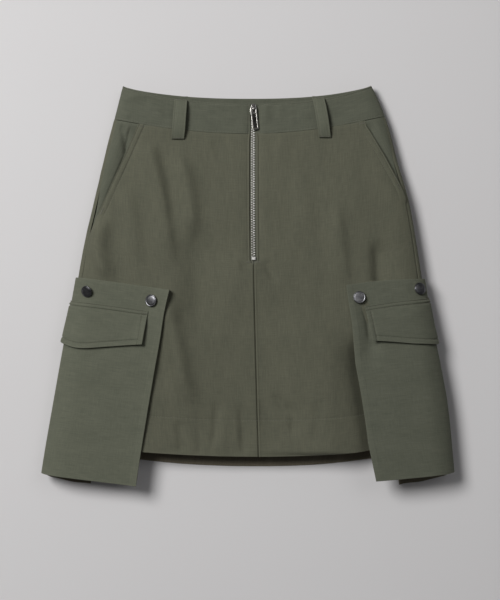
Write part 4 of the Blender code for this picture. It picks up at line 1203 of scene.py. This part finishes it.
def makeFlap(word):
    cargo, look = cargoPieces[word], flapCloth
    lead = cargo["flapLead"]
    middle = lead - look["width"] / 2

    def place(au, bu, av, bv, out):
        roundIt = lead - (au + bu * look["width"])
        wayOut = np.abs(roundIt - middle) / (look["width"] / 2)
        wayOut = np.sqrt(wayOut**2 + look["pointSoft"])
        drop = cargo["pointDrop"] + (cargo["endDrop"] - cargo["pointDrop"]) * wayOut
        under = av + bv * drop
        down = cargo["flapTop"] + cargo["flapSlant"] * np.abs(roundIt) + under
        share = np.clip(under / drop, 0.0, 1.0)
        flare = cargo["flapFlare"] * share**2 * ease(roundIt, -40.0, 10.0)
        roundIt = roundIt - cargo["flapLean"] * under * (1 - bu)
        nearEdge = 1 - ease(lead - roundIt, 0.0, 14.0)
        flare = flare + cargo["flapEdgeLift"] * nearEdge * ease(share, 0.05, 0.5)
        flare = flare + cargo["flapTilt"] * np.clip(roundIt / lead, 0.0, 1.0) * ease(share, 0.0, 0.4)
        rise = cargoStand(word, roundIt, down) + cargoCloth["solidWall"] + cargoCloth["gap"]
        rise = rise + look["solidWall"] + flare + panelWaves(word, roundIt, down) * 0.8
        return cargoPoint(word, roundIt, down, rise + out)

    def relief(points, dist):
        waves = uneven(points, 24.0, 0.2, 171 + sides[word])
        edge = np.minimum(np.minimum(dist["start"], dist["end"]), dist["low"])
        raised = look["doubled"] * (1 - ease(edge, look["edgeStitch"] - 0.8, look["edgeStitch"] + 0.8))
        tucked = -look["topTuck"] * bell(dist["top"], 1.0)
        return waves * ease(dist["top"], 0, 8) + raised + tucked

    rows = [
        ("top", look["foldStitch"], 1.0, -1.0),
        ("top", look["topStitch"], 1.0, -1.0),
        ("start", look["edgeStitch"], look["topStitch"] + 1, -look["edgeStitch"]),
        ("end", look["edgeStitch"], look["topStitch"] + 1, -look["edgeStitch"]),
        ("low", look["edgeStitch"], look["edgeStitch"], -look["edgeStitch"]),
    ]
    grooves = linesFor(rows, look["rowGroove"], 1.0)
    grooves[0]["depth"] = grooves[1]["depth"] = look["topGroove"]
    across = run(edgeWith(look["edgeStitch"], last=9.0), 72, edgeWith(look["edgeStitch"], last=9.0)[::-1])
    along = run(edgeWith(look["foldStitch"], look["topStitch"], last=9.0), 22,
                edgeWith(look["edgeStitch"], last=9.0)[::-1])
    name = f"cargo_flap_{word}_cloth"
    grid = clothGrid(name, across, along, place, look["wall"], relief, grooves, seed=180 + sides[word],
                     pucker=0.1, turnWeave=True)
    piece = addPiece(name, grid["mesh"], cargoTwill[word], skirtBody, ["cargo_flap_" + word])
    inset, start, end = look["tack"]
    tacks = [lineOn(grid, "top", inset, start, end),
             lineOn(grid, "top", inset, look["width"] - end, look["width"] - start)]
    stitches = sewn("cargo_flap_stitching_" + word, grid, rows, tacks)


snapCap = {
    "gap": 0.5,
    "segments": 56,
    "plate": 1.55,  # the height that a flat cap has inside its rim
    "rimRadius": 6.2,
    # from the middle of the cap out over the rolled rim and in again underneath: radius, height
    "profile": [(0.0, 2.2), (1.4, 2.19), (2.8, 2.14), (4.0, 2.06), (5.0, 1.96), (5.6, 1.86), (5.9, 1.72),
                (6.15, 1.55), (6.4, 1.56), (6.75, 1.72), (7.15, 1.72), (7.5, 1.46), (7.7, 1.05),
                (7.66, 0.55), (7.4, 0.15), (7.0, 0.0), (0.0, 0.0)],
    # degrees towards +X and towards +Y, how far it is lifted by the cloth, and how domed it is
    "set": {
        "left": {"front": (-21.0, 1.0, 2.2, 1.0), "side": (-14.0, -21.0, 0.8, 0.8),
                 "back": (0.0, 0.0, 0.0, 1.0)},
        "right": {"front": (-3.0, 2.5, -0.3, 0.25), "side": (-6.0, 5.0, 0.0, 0.6),
                  "back": (0.0, 0.0, 0.0, 1.0)},
    },
}


def latheMesh(name, profile, segments):
    turns = np.linspace(0, 2 * np.pi, segments, endpoint=False)
    mesh = bmesh.new()
    rings = []
    for radius, height in profile:
        around = turns if radius > 0 else [0.0]
        rings.append([mesh.verts.new((radius * math.cos(t) * mm, radius * math.sin(t) * mm, height * mm))
                      for t in around])
    for first, second in zip(rings, rings[1:]):
        for i in range(segments):
            j = (i + 1) % segments
            corners = [first[0]] if len(first) == 1 else [first[j], first[i]]
            corners += [second[0]] if len(second) == 1 else [second[i], second[j]]
            mesh.faces.new(corners)
    bmesh.ops.recalc_face_normals(mesh, faces=mesh.faces)
    return meshOf(name, mesh)


def onPanel(word, roundIt, down):  # a point on the cargo panel's outer face
    roundIt, down = np.array(roundIt), np.array(down)
    rise = cargoStand(word, roundIt, down) + cargoCloth["solidWall"]
    return Vector(cargoPoint(word, roundIt, down, rise))


def domed(dome):  # the cap's profile, with its middle domed by a share of the whole dome
    plate = snapCap["plate"]
    return [(radius, plate + (height - plate) * dome if radius < snapCap["rimRadius"] and height > plate
             else height) for radius, height in snapCap["profile"]]


def makeSnaps(word):
    for place, (roundIt, down) in cargoPieces[word]["snaps"].items():
        here = onPanel(word, roundIt, down)
        ahead = (onPanel(word, roundIt + 2.0, down) - onPanel(word, roundIt - 2.0, down)).normalized()
        below = onPanel(word, roundIt, down + 2.0) - onPanel(word, roundIt, down - 2.0)
        out = ahead.cross(below).normalized() * sides[word]
        axes = Matrix((ahead.cross(out), ahead, out)).transposed().to_4x4()
        name = f"snap_{word}_{place}_cap"
        tiltX, tiltY, lift, dome = snapCap["set"][word][place]
        tilt = Matrix.Rotation(math.radians(tiltX), 4, "Y") @ Matrix.Rotation(math.radians(-tiltY), 4, "X")
        seat = Matrix.Translation((here + out * (snapCap["gap"] + lift)) * mm)
        addPiece(name, latheMesh(name, domed(dome), snapCap["segments"]), gunmetal, skirtBody,
                 [f"snap_{word}_{place}"], seat @ tilt @ axes)


zipParts = {
    "level": -2.6,  # the tape's upper face, from the cloth's outer face
    # number 5 teeth are 2.54 mm apart, too fine to show from far off, so they are drawn a little coarser
    "pitch": 3.1,
    "toothReach": (-0.15, 2.65),  # from the centre line, which the heads reach past
    "toothWidth": 0.96,
    "toothWobble": 0.05,
    "chainX": -0.35,  # from the centre line
    "toothHeight": 2.1,
    "chainTop": 217.7,
    "chainLow": 37.2,
    "stopY": 34.45,
    "hingeX": 0.1,
    "hingeY": 224.0,
    "hingeHeight": 3.5,
    "pullTurn": math.radians(6.3),
    "pullDrop": math.radians(4.0),
    # the corded edge of a tape, as (out from the centre line, height)
    "bead": [(0.12, -0.5), (0.12, 0.5), (0.4, 0.85), (1.1, 1.0), (1.8, 0.85), (2.1, 0.5), (2.1, -0.5)],
    "beadStations": 61,
}


def seatOn(x, y, out=0.0):  # a frame over the centre front: x across, y up the skirt and z outwards
    here, right, up = (overFront(np.array(px), np.array(py), np.array(out))
                       for px, py in ((x, y), (x + 1.0, y), (x, y + 1.0)))
    zAxis = Vector(right - here).cross(Vector(up - here)).normalized()
    yAxis = (Vector(up - here) - zAxis * zAxis.dot(Vector(up - here))).normalized()
    axes = Matrix((yAxis.cross(zAxis), yAxis, zAxis)).transposed().to_4x4()
    return Matrix.Translation(Vector(here) * mm) @ axes


def toothShape():  # one tooth of the left tape, with its head to the right
    x0, x1 = zipParts["toothReach"]
    half, high = zipParts["toothWidth"] / 2, zipParts["toothHeight"]
    stations = [(-x1, 0.7, 0.6), (-x1 + 0.3, 0.9, 0.94), (-x1 + 0.8, 1.0, 1.0), (-1.4, 1.0, 0.97),
                (-1.0, 1.0, 0.94), (-0.5, 1.0, 0.91), (-x0, 0.92, 0.87), (-x0 + 0.3, 0.6, 0.6)]
    ring = [(-1, 0.2), (-1, 0.84), (-0.82, 1.0), (0, 1), (0.82, 1.0), (1, 0.84), (1, 0.2), (0, 0)]
    points = [(x, half * w * a, high * h * b + high * (1 - h) * 0.25)
              for x, w, h in stations for a, b in ring]
    faces = tubeQuads(len(stations), len(ring))
    last = (len(stations) - 1) * len(ring)
    faces += [[3, 2, 1, 0], [7, 4, 3, 0], [7, 6, 5, 4], [last, last + 1, last + 2, last + 3],
              [last, last + 3, last + 4, last + 7], [last + 4, last + 5, last + 6, last + 7]]
    return np.array(points), np.array(faces)


def onChain(points, y):  # points by the centre line of the teeth, moved to a height on the skirt
    seat = np.array(seatOn(zipParts["chainX"], y, zipParts["level"]))
    return points @ seat[:3, :3].T + seat[:3, 3] / mm


def makeBead(word):  # the corded edge of the tape, which the teeth are clamped on
    look = zipParts
    local = np.array([(sides[word] * x, 0.0, z) for x, z in look["bead"]])
    stations = np.linspace(look["chainLow"] - 1.0, look["chainTop"] + 1.0, look["beadStations"])
    points = np.concatenate([onChain(local, y) for y in stations])
    faces = tubeQuads(len(stations), len(local))
    for end in (0, len(points) - len(local)):
        faces += [[end, end + 1, end + 2, end + 3], [end, end + 3, end + 4, end + 5],
                  [end, end + 5, end + 6]]
    mesh = bmesh.new()
    corners = [mesh.verts.new(point * mm) for point in points]
    for face in faces:
        mesh.faces.new([corners[i] for i in face])
    bmesh.ops.recalc_face_normals(mesh, faces=mesh.faces)
    addPiece("zip_bead_" + word, meshOf("zip_bead_" + word, mesh), tape, skirtBody)


def makeTeeth(word):
    look, side = zipParts, sides[word]
    base, faces = toothShape()
    start = look["chainLow"] + 0.2 + (0 if side < 0 else look["pitch"] / 2)
    points, quads = [], []
    for i, y in enumerate(np.arange(start, look["chainTop"] - 0.6, look["pitch"])):
        wobble = look["toothWobble"] * math.sin(i * 2.3 + side)
        points.append(onChain(base * [-side, 1, 1] + [0, wobble, 0.05], y))
        quads.append((faces if side < 0 else faces[:, ::-1]) + i * len(base))
    name = "zip_teeth_" + word
    mesh = meshFrom(name, np.concatenate(points), np.concatenate(quads), smooth=False)
    addPiece(name, mesh, toothNickel, skirtBody, ["zip_chain"])


flatArea = 0.5  # in square millimetres: larger faces of a plate are its flats


def bevelSharp(mesh, least, offset, segments):  # rounds the edges that turn by more than least, in radians
    sharp = [edge for edge in mesh.edges if len(edge.link_faces) == 2 and edge.calc_face_angle(0) > least]
    bmesh.ops.bevel(mesh, geom=sharp, offset=offset * mm, segments=segments, profile=0.5, affect="EDGES")


def extruded(name, outline, low, high, bevel, hole=None):  # a plate or ring with rounded edges
    mesh = bmesh.new()
    levels = []
    for z in (low, high):
        outer = [mesh.verts.new((x * mm, y * mm, z * mm)) for x, y in outline]
        inner = [mesh.verts.new((x * mm, y * mm, z * mm)) for x, y in hole] if hole else None
        levels.append((outer, inner))
    count = len(outline)
    for i in range(count):
        j = (i + 1) % count
        mesh.faces.new((levels[0][0][i], levels[0][0][j], levels[1][0][j], levels[1][0][i]))
        if hole:
            mesh.faces.new((levels[0][1][j], levels[0][1][i], levels[1][1][i], levels[1][1][j]))
            mesh.faces.new((levels[1][0][i], levels[1][0][j], levels[1][1][j], levels[1][1][i]))
            mesh.faces.new((levels[0][0][j], levels[0][0][i], levels[0][1][i], levels[0][1][j]))
    if not hole:
        mesh.faces.new(levels[1][0])
        mesh.faces.new(levels[0][0][::-1])
    bmesh.ops.recalc_face_normals(mesh, faces=mesh.faces)
    bevelSharp(mesh, 0.6, bevel, 3)
    for face in mesh.faces:  # its flats stay flat between the rounded edges
        face.smooth = face.calc_area() < flatArea * mm**2
    return meshOf(name, mesh, smooth=False)


def roundedBox(width, length, radius, centre=(0, 0), steps=4):
    cx, cy = centre
    points = []
    for sx, sy, start in ((1, 1, 0), (-1, 1, 90), (-1, -1, 180), (1, -1, 270)):
        for k in range(steps + 1):
            angle = math.radians(start + 90 * k / steps)
            points.append((cx + sx * (width / 2 - radius) + radius * math.cos(angle),
                           cy + sy * (length / 2 - radius) + radius * math.sin(angle)))
    return points


sliderParts = {
    "plateDrop": 1.7,  # from the hinge down to the plate's top
    "plateThick": 1.4,
    "shield": [(1.5, 6.7), (-1.5, 6.7), (-2.7, 5.6), (-4.1, 0.6), (-4.2, -4.2), (-3.6, -6.2), (-2.6, -6.7),
               (2.6, -6.7), (3.6, -6.2), (4.2, -4.2), (4.1, 0.6), (2.7, 5.6)],
    # the raised rim runs to a point at the slider's nose, low enough for the pull to swing over it
    "roof": [(0.0, 6.2), (2.2, 2.4), (2.2, -0.6), (1.35, -0.6), (1.35, 2.0), (0.0, 4.5), (-1.35, 2.0),
             (-1.35, -0.6), (-2.2, -0.6), (-2.2, 2.4)],
    "rimHeight": 0.6,
    "bridgeRise": 1.75,  # from the hinge up to the bridge's top
    "bridgeHalf": 1.05,
}


def makeSlider():
    look = sliderParts
    seat = seatOn(zipParts["hingeX"], zipParts["hingeY"])
    plateTop = zipParts["hingeHeight"] - look["plateDrop"]
    plate = extruded("zip_slider_plate", look["shield"], plateTop - look["plateThick"], plateTop, 0.4)
    addPiece("zip_slider_plate", plate, nickel, skirtBody, ["zip_slider"], seat)
    rim = extruded("zip_slider_rim", look["roof"], plateTop - 0.5, plateTop + look["rimHeight"], 0.22)
    addPiece("zip_slider_rim", rim, nickel, skirtBody, seat=seat)
    # the bridge: an arched strap over the pull's bar
    mesh = bmesh.new()
    high = zipParts["hingeHeight"] + look["bridgeRise"]
    profile = [(-3.6, plateTop - 0.3), (-3.5, plateTop + 1.6), (-2.5, high - 0.35), (-1.2, high),
               (1.2, high), (2.5, high - 0.35), (3.5, plateTop + 1.6), (3.6, plateTop - 0.3)]
    inside = [(-2.55, plateTop - 0.3), (-2.5, plateTop + 1.2), (-1.8, high - 0.95), (-0.9, high - 0.8),
              (0.9, high - 0.8), (1.8, high - 0.95), (2.5, plateTop + 1.2), (2.55, plateTop - 0.3)]
    rings = [[mesh.verts.new((x * mm, y * mm, z * mm)) for y, z in profile + inside[::-1]]
             for x in (-look["bridgeHalf"], look["bridgeHalf"])]
    count = len(rings[0])
    for i in range(count):
        j = (i + 1) % count
        mesh.faces.new((rings[0][i], rings[0][j], rings[1][j], rings[1][i]))
    for ring in rings:
        for i in range(count // 2 - 1):
            mesh.faces.new((ring[i], ring[i + 1], ring[count - 2 - i], ring[count - 1 - i]))
    bmesh.ops.recalc_face_normals(mesh, faces=mesh.faces)
    bevelSharp(mesh, 1.0, 0.22, 2)
    bridge = meshOf("zip_slider_bridge", mesh)
    addPiece("zip_slider_bridge", bridge, nickel, skirtBody, seat=seat)


pullParts = {  # width, length, corner radius and middle of each outline
    "frame": (7.6, 27.8, 0.8, (0, -13.0)),
    "slot": (4.9, 23.9, 0.7, (0, -12.65)),
    "panel": (5.3, 17.2, 0.6, (0, -16.2)),
    "thick": (-0.7, 0.7),
    "panelThick": (-0.45, 0.1),
}


def makePull():
    look = pullParts
    hinge = seatOn(zipParts["hingeX"], zipParts["hingeY"]) @ Matrix.Rotation(zipParts["pullTurn"], 4, "Z")
    hinge = hinge @ Matrix.Translation((0, 0, zipParts["hingeHeight"] * mm))
    hinge = hinge @ Matrix.Rotation(zipParts["pullDrop"], 4, "X")
    outline, slot = roundedBox(*look["frame"]), roundedBox(*look["slot"])
    pull = extruded("zip_pull_frame", outline, *look["thick"], 0.24, hole=slot)
    addPiece("zip_pull_frame", pull, nickel, pullBody, ["zip_pull"], hinge)
    # the sunk panel that closes most of it, below the opening for the bridge, painted nearly black as shade
    panel = extruded("zip_pull_panel", roundedBox(*look["panel"]), *look["panelThick"], 0.12)
    addPiece("zip_pull_panel", panel, shadedPanelNickel, pullBody, seat=hinge)


def makeStop():
    seat = seatOn(0.0, zipParts["stopY"])
    low = zipParts["level"] + 0.3
    stop = extruded("zip_stop_clamp", roundedBox(5.2, 4.4, 0.8), low, low + 2.4, 0.55)
    addPiece("zip_stop_clamp", stop, toothNickel, skirtBody, ["zip_bottom_stop"], seat)


def dressTapes():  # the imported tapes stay, in woven cloth
    for word in sides:
        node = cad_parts["zip_tape_" + word]
        node.data.materials.clear()
        node.data.materials.append(tape)


makeBack()
makeWaistband()
print("back and waistband made")
for word in sides:
    makeFront(word)
    makeFacing(word)
print("fronts and pocket facings made")
for word in loopPiece["places"]:
    makeLoop(word)
print("belt loops made")
for word in sides:
    makeCargoPanel(word)
    makeFlap(word)
    makeSnaps(word)
print("cargo panels, flaps and snaps made")
for word in sides:
    makeBead(word)
    makeTeeth(word)
makeSlider()
makePull()
makeStop()
dressTapes()
print("zip made")


studio = {
    "board": "#c9c7c8",
    "boardPale": "#cccbcc",
    "boardHalf": 1.6,  # metres
    "boardDrop": 0.2,
    "cloudMm": 500.0,
    "lampColour": (1.0, 0.995, 0.985),
    "lampTurn": 144.0,  # degrees round from +X: the light comes from the upper left
    "lampHeight": 56.0,
    "lampAway": 3.0,
    "lampSize": 1.25,
    "lampPower": 86.0,
    "skyStrength": 0.1,
    "skyAway": (0.8, 0.81, 0.84, 1),  # the sky's colour away from the lamp, and towards it
    "skyToward": (1.25, 1.25, 1.24, 1),
    "fillTurn": 40.0,
    "fillHeight": 55.0,
    "fillGlow": 14.0,
    "fillEdge": (0.955, 0.985),
    "camera": (0.03, -18.05, 2000.0),
    "sensor": 36.0,
    "sharpHeight": 20.0,  # above the board, where the picture's height covers "field"
    "field": 762.0,
}


# Board with a rolled coat of pale grey emulsion: matt, and uneven only over half a metre.
def emulsionBoard(name):
    material, tree, shader = newMaterial(name)
    place = addNode(tree, "ShaderNodeTexCoord").outputs["Object"]
    cloud = addNode(tree, "ShaderNodeTexNoise", {},
                    {"Vector": place, "Scale": 1000 / studio["cloudMm"], "Detail": 2.0})
    tint = addNode(tree, "ShaderNodeMix", {"data_type": "RGBA"},
                   {"Factor": cloud.outputs["Fac"], "A": toLinear(studio["board"]),
                    "B": toLinear(studio["boardPale"])})
    tree.links.new(tint.outputs["Result"], shader.inputs["Base Color"])
    shader.inputs["Roughness"].default_value = 0.75
    shader.inputs["Specular IOR Level"].default_value = 0.2
    return material


def makeBoard():
    data = bpy.data.meshes.new("board")
    half = studio["boardHalf"]
    data.from_pydata([(-half, -half, 0), (half, -half, 0), (half, half, 0), (-half, half, 0)], [],
                     [(0, 1, 2, 3)])
    board = bpy.data.objects.new("board", data)
    bpy.context.scene.collection.objects.link(board)
    board.location.z = -studio["boardDrop"] * mm
    data.materials.append(emulsionBoard("emulsion painted board"))


def awayTo(turn, height):  # a direction, from degrees round from +X and up from the board
    turn, height = math.radians(turn), math.radians(height)
    return Vector((math.cos(turn) * math.cos(height), math.sin(turn) * math.cos(height), math.sin(height)))


def makeLight():
    away = awayTo(studio["lampTurn"], studio["lampHeight"])
    lamp = bpy.data.lights.new("softbox", "AREA")
    lamp.shape = "DISK"
    lamp.size = studio["lampSize"]
    lamp.energy = studio["lampPower"]
    lamp.color = studio["lampColour"]
    holder = bpy.data.objects.new("softbox", lamp)
    bpy.context.scene.collection.objects.link(holder)
    holder.location = away * studio["lampAway"]
    holder.rotation_euler = away.to_track_quat("Z", "Y").to_euler()
    world = bpy.data.worlds.new("studio")
    bpy.context.scene.world = world
    world.use_nodes = True
    tree = world.node_tree
    sky = tree.nodes["Background"]
    place = addNode(tree, "ShaderNodeTexCoord").outputs["Generated"]
    toward = addNode(tree, "ShaderNodeVectorMath", {"operation": "DOT_PRODUCT"},
                     {0: place, 1: tuple(away)}).outputs["Value"]
    share = addNode(tree, "ShaderNodeMapRange", {}, {"Value": toward, "From Min": -0.2, "From Max": 1.0,
                                                     "To Min": 0.0, "To Max": 1.0}).outputs[0]
    tint = addNode(tree, "ShaderNodeMix", {"data_type": "RGBA"},
                   {"Factor": share, "A": studio["skyAway"], "B": studio["skyToward"]}).outputs["Result"]
    # a second softbox on the right, which shows in the metal and hardly anywhere else
    fill = awayTo(studio["fillTurn"], studio["fillHeight"])
    near = addNode(tree, "ShaderNodeVectorMath", {"operation": "DOT_PRODUCT"},
                   {0: place, 1: tuple(fill)}).outputs["Value"]
    glowStart, glowFull = studio["fillEdge"]
    glow = addNode(tree, "ShaderNodeMapRange", {"interpolation_type": "SMOOTHSTEP"},
                   {"Value": near, "From Min": glowStart, "From Max": glowFull, "To Min": 0.0,
                    "To Max": studio["fillGlow"]}).outputs[0]
    lit = addNode(tree, "ShaderNodeVectorMath", {"operation": "ADD"}, {0: tint, 1: glow}).outputs[0]
    tree.links.new(lit, sky.inputs["Color"])
    sky.inputs["Strength"].default_value = studio["skyStrength"]


def makeCamera():
    data = bpy.data.cameras.new("overhead")
    data.sensor_fit = "VERTICAL"
    data.sensor_height = studio["sensor"]
    data.lens = studio["sensor"] * (studio["camera"][2] - studio["sharpHeight"]) / studio["field"]
    camera = bpy.data.objects.new("overhead", data)
    bpy.context.scene.collection.objects.link(camera)
    camera.location = Vector(studio["camera"]) * mm
    data.clip_end = 20.0
    bpy.context.scene.camera = camera


makeBoard()
makeLight()
makeCamera()
bpy.context.scene.view_settings.view_transform = "Standard"
print("board, light and camera made")
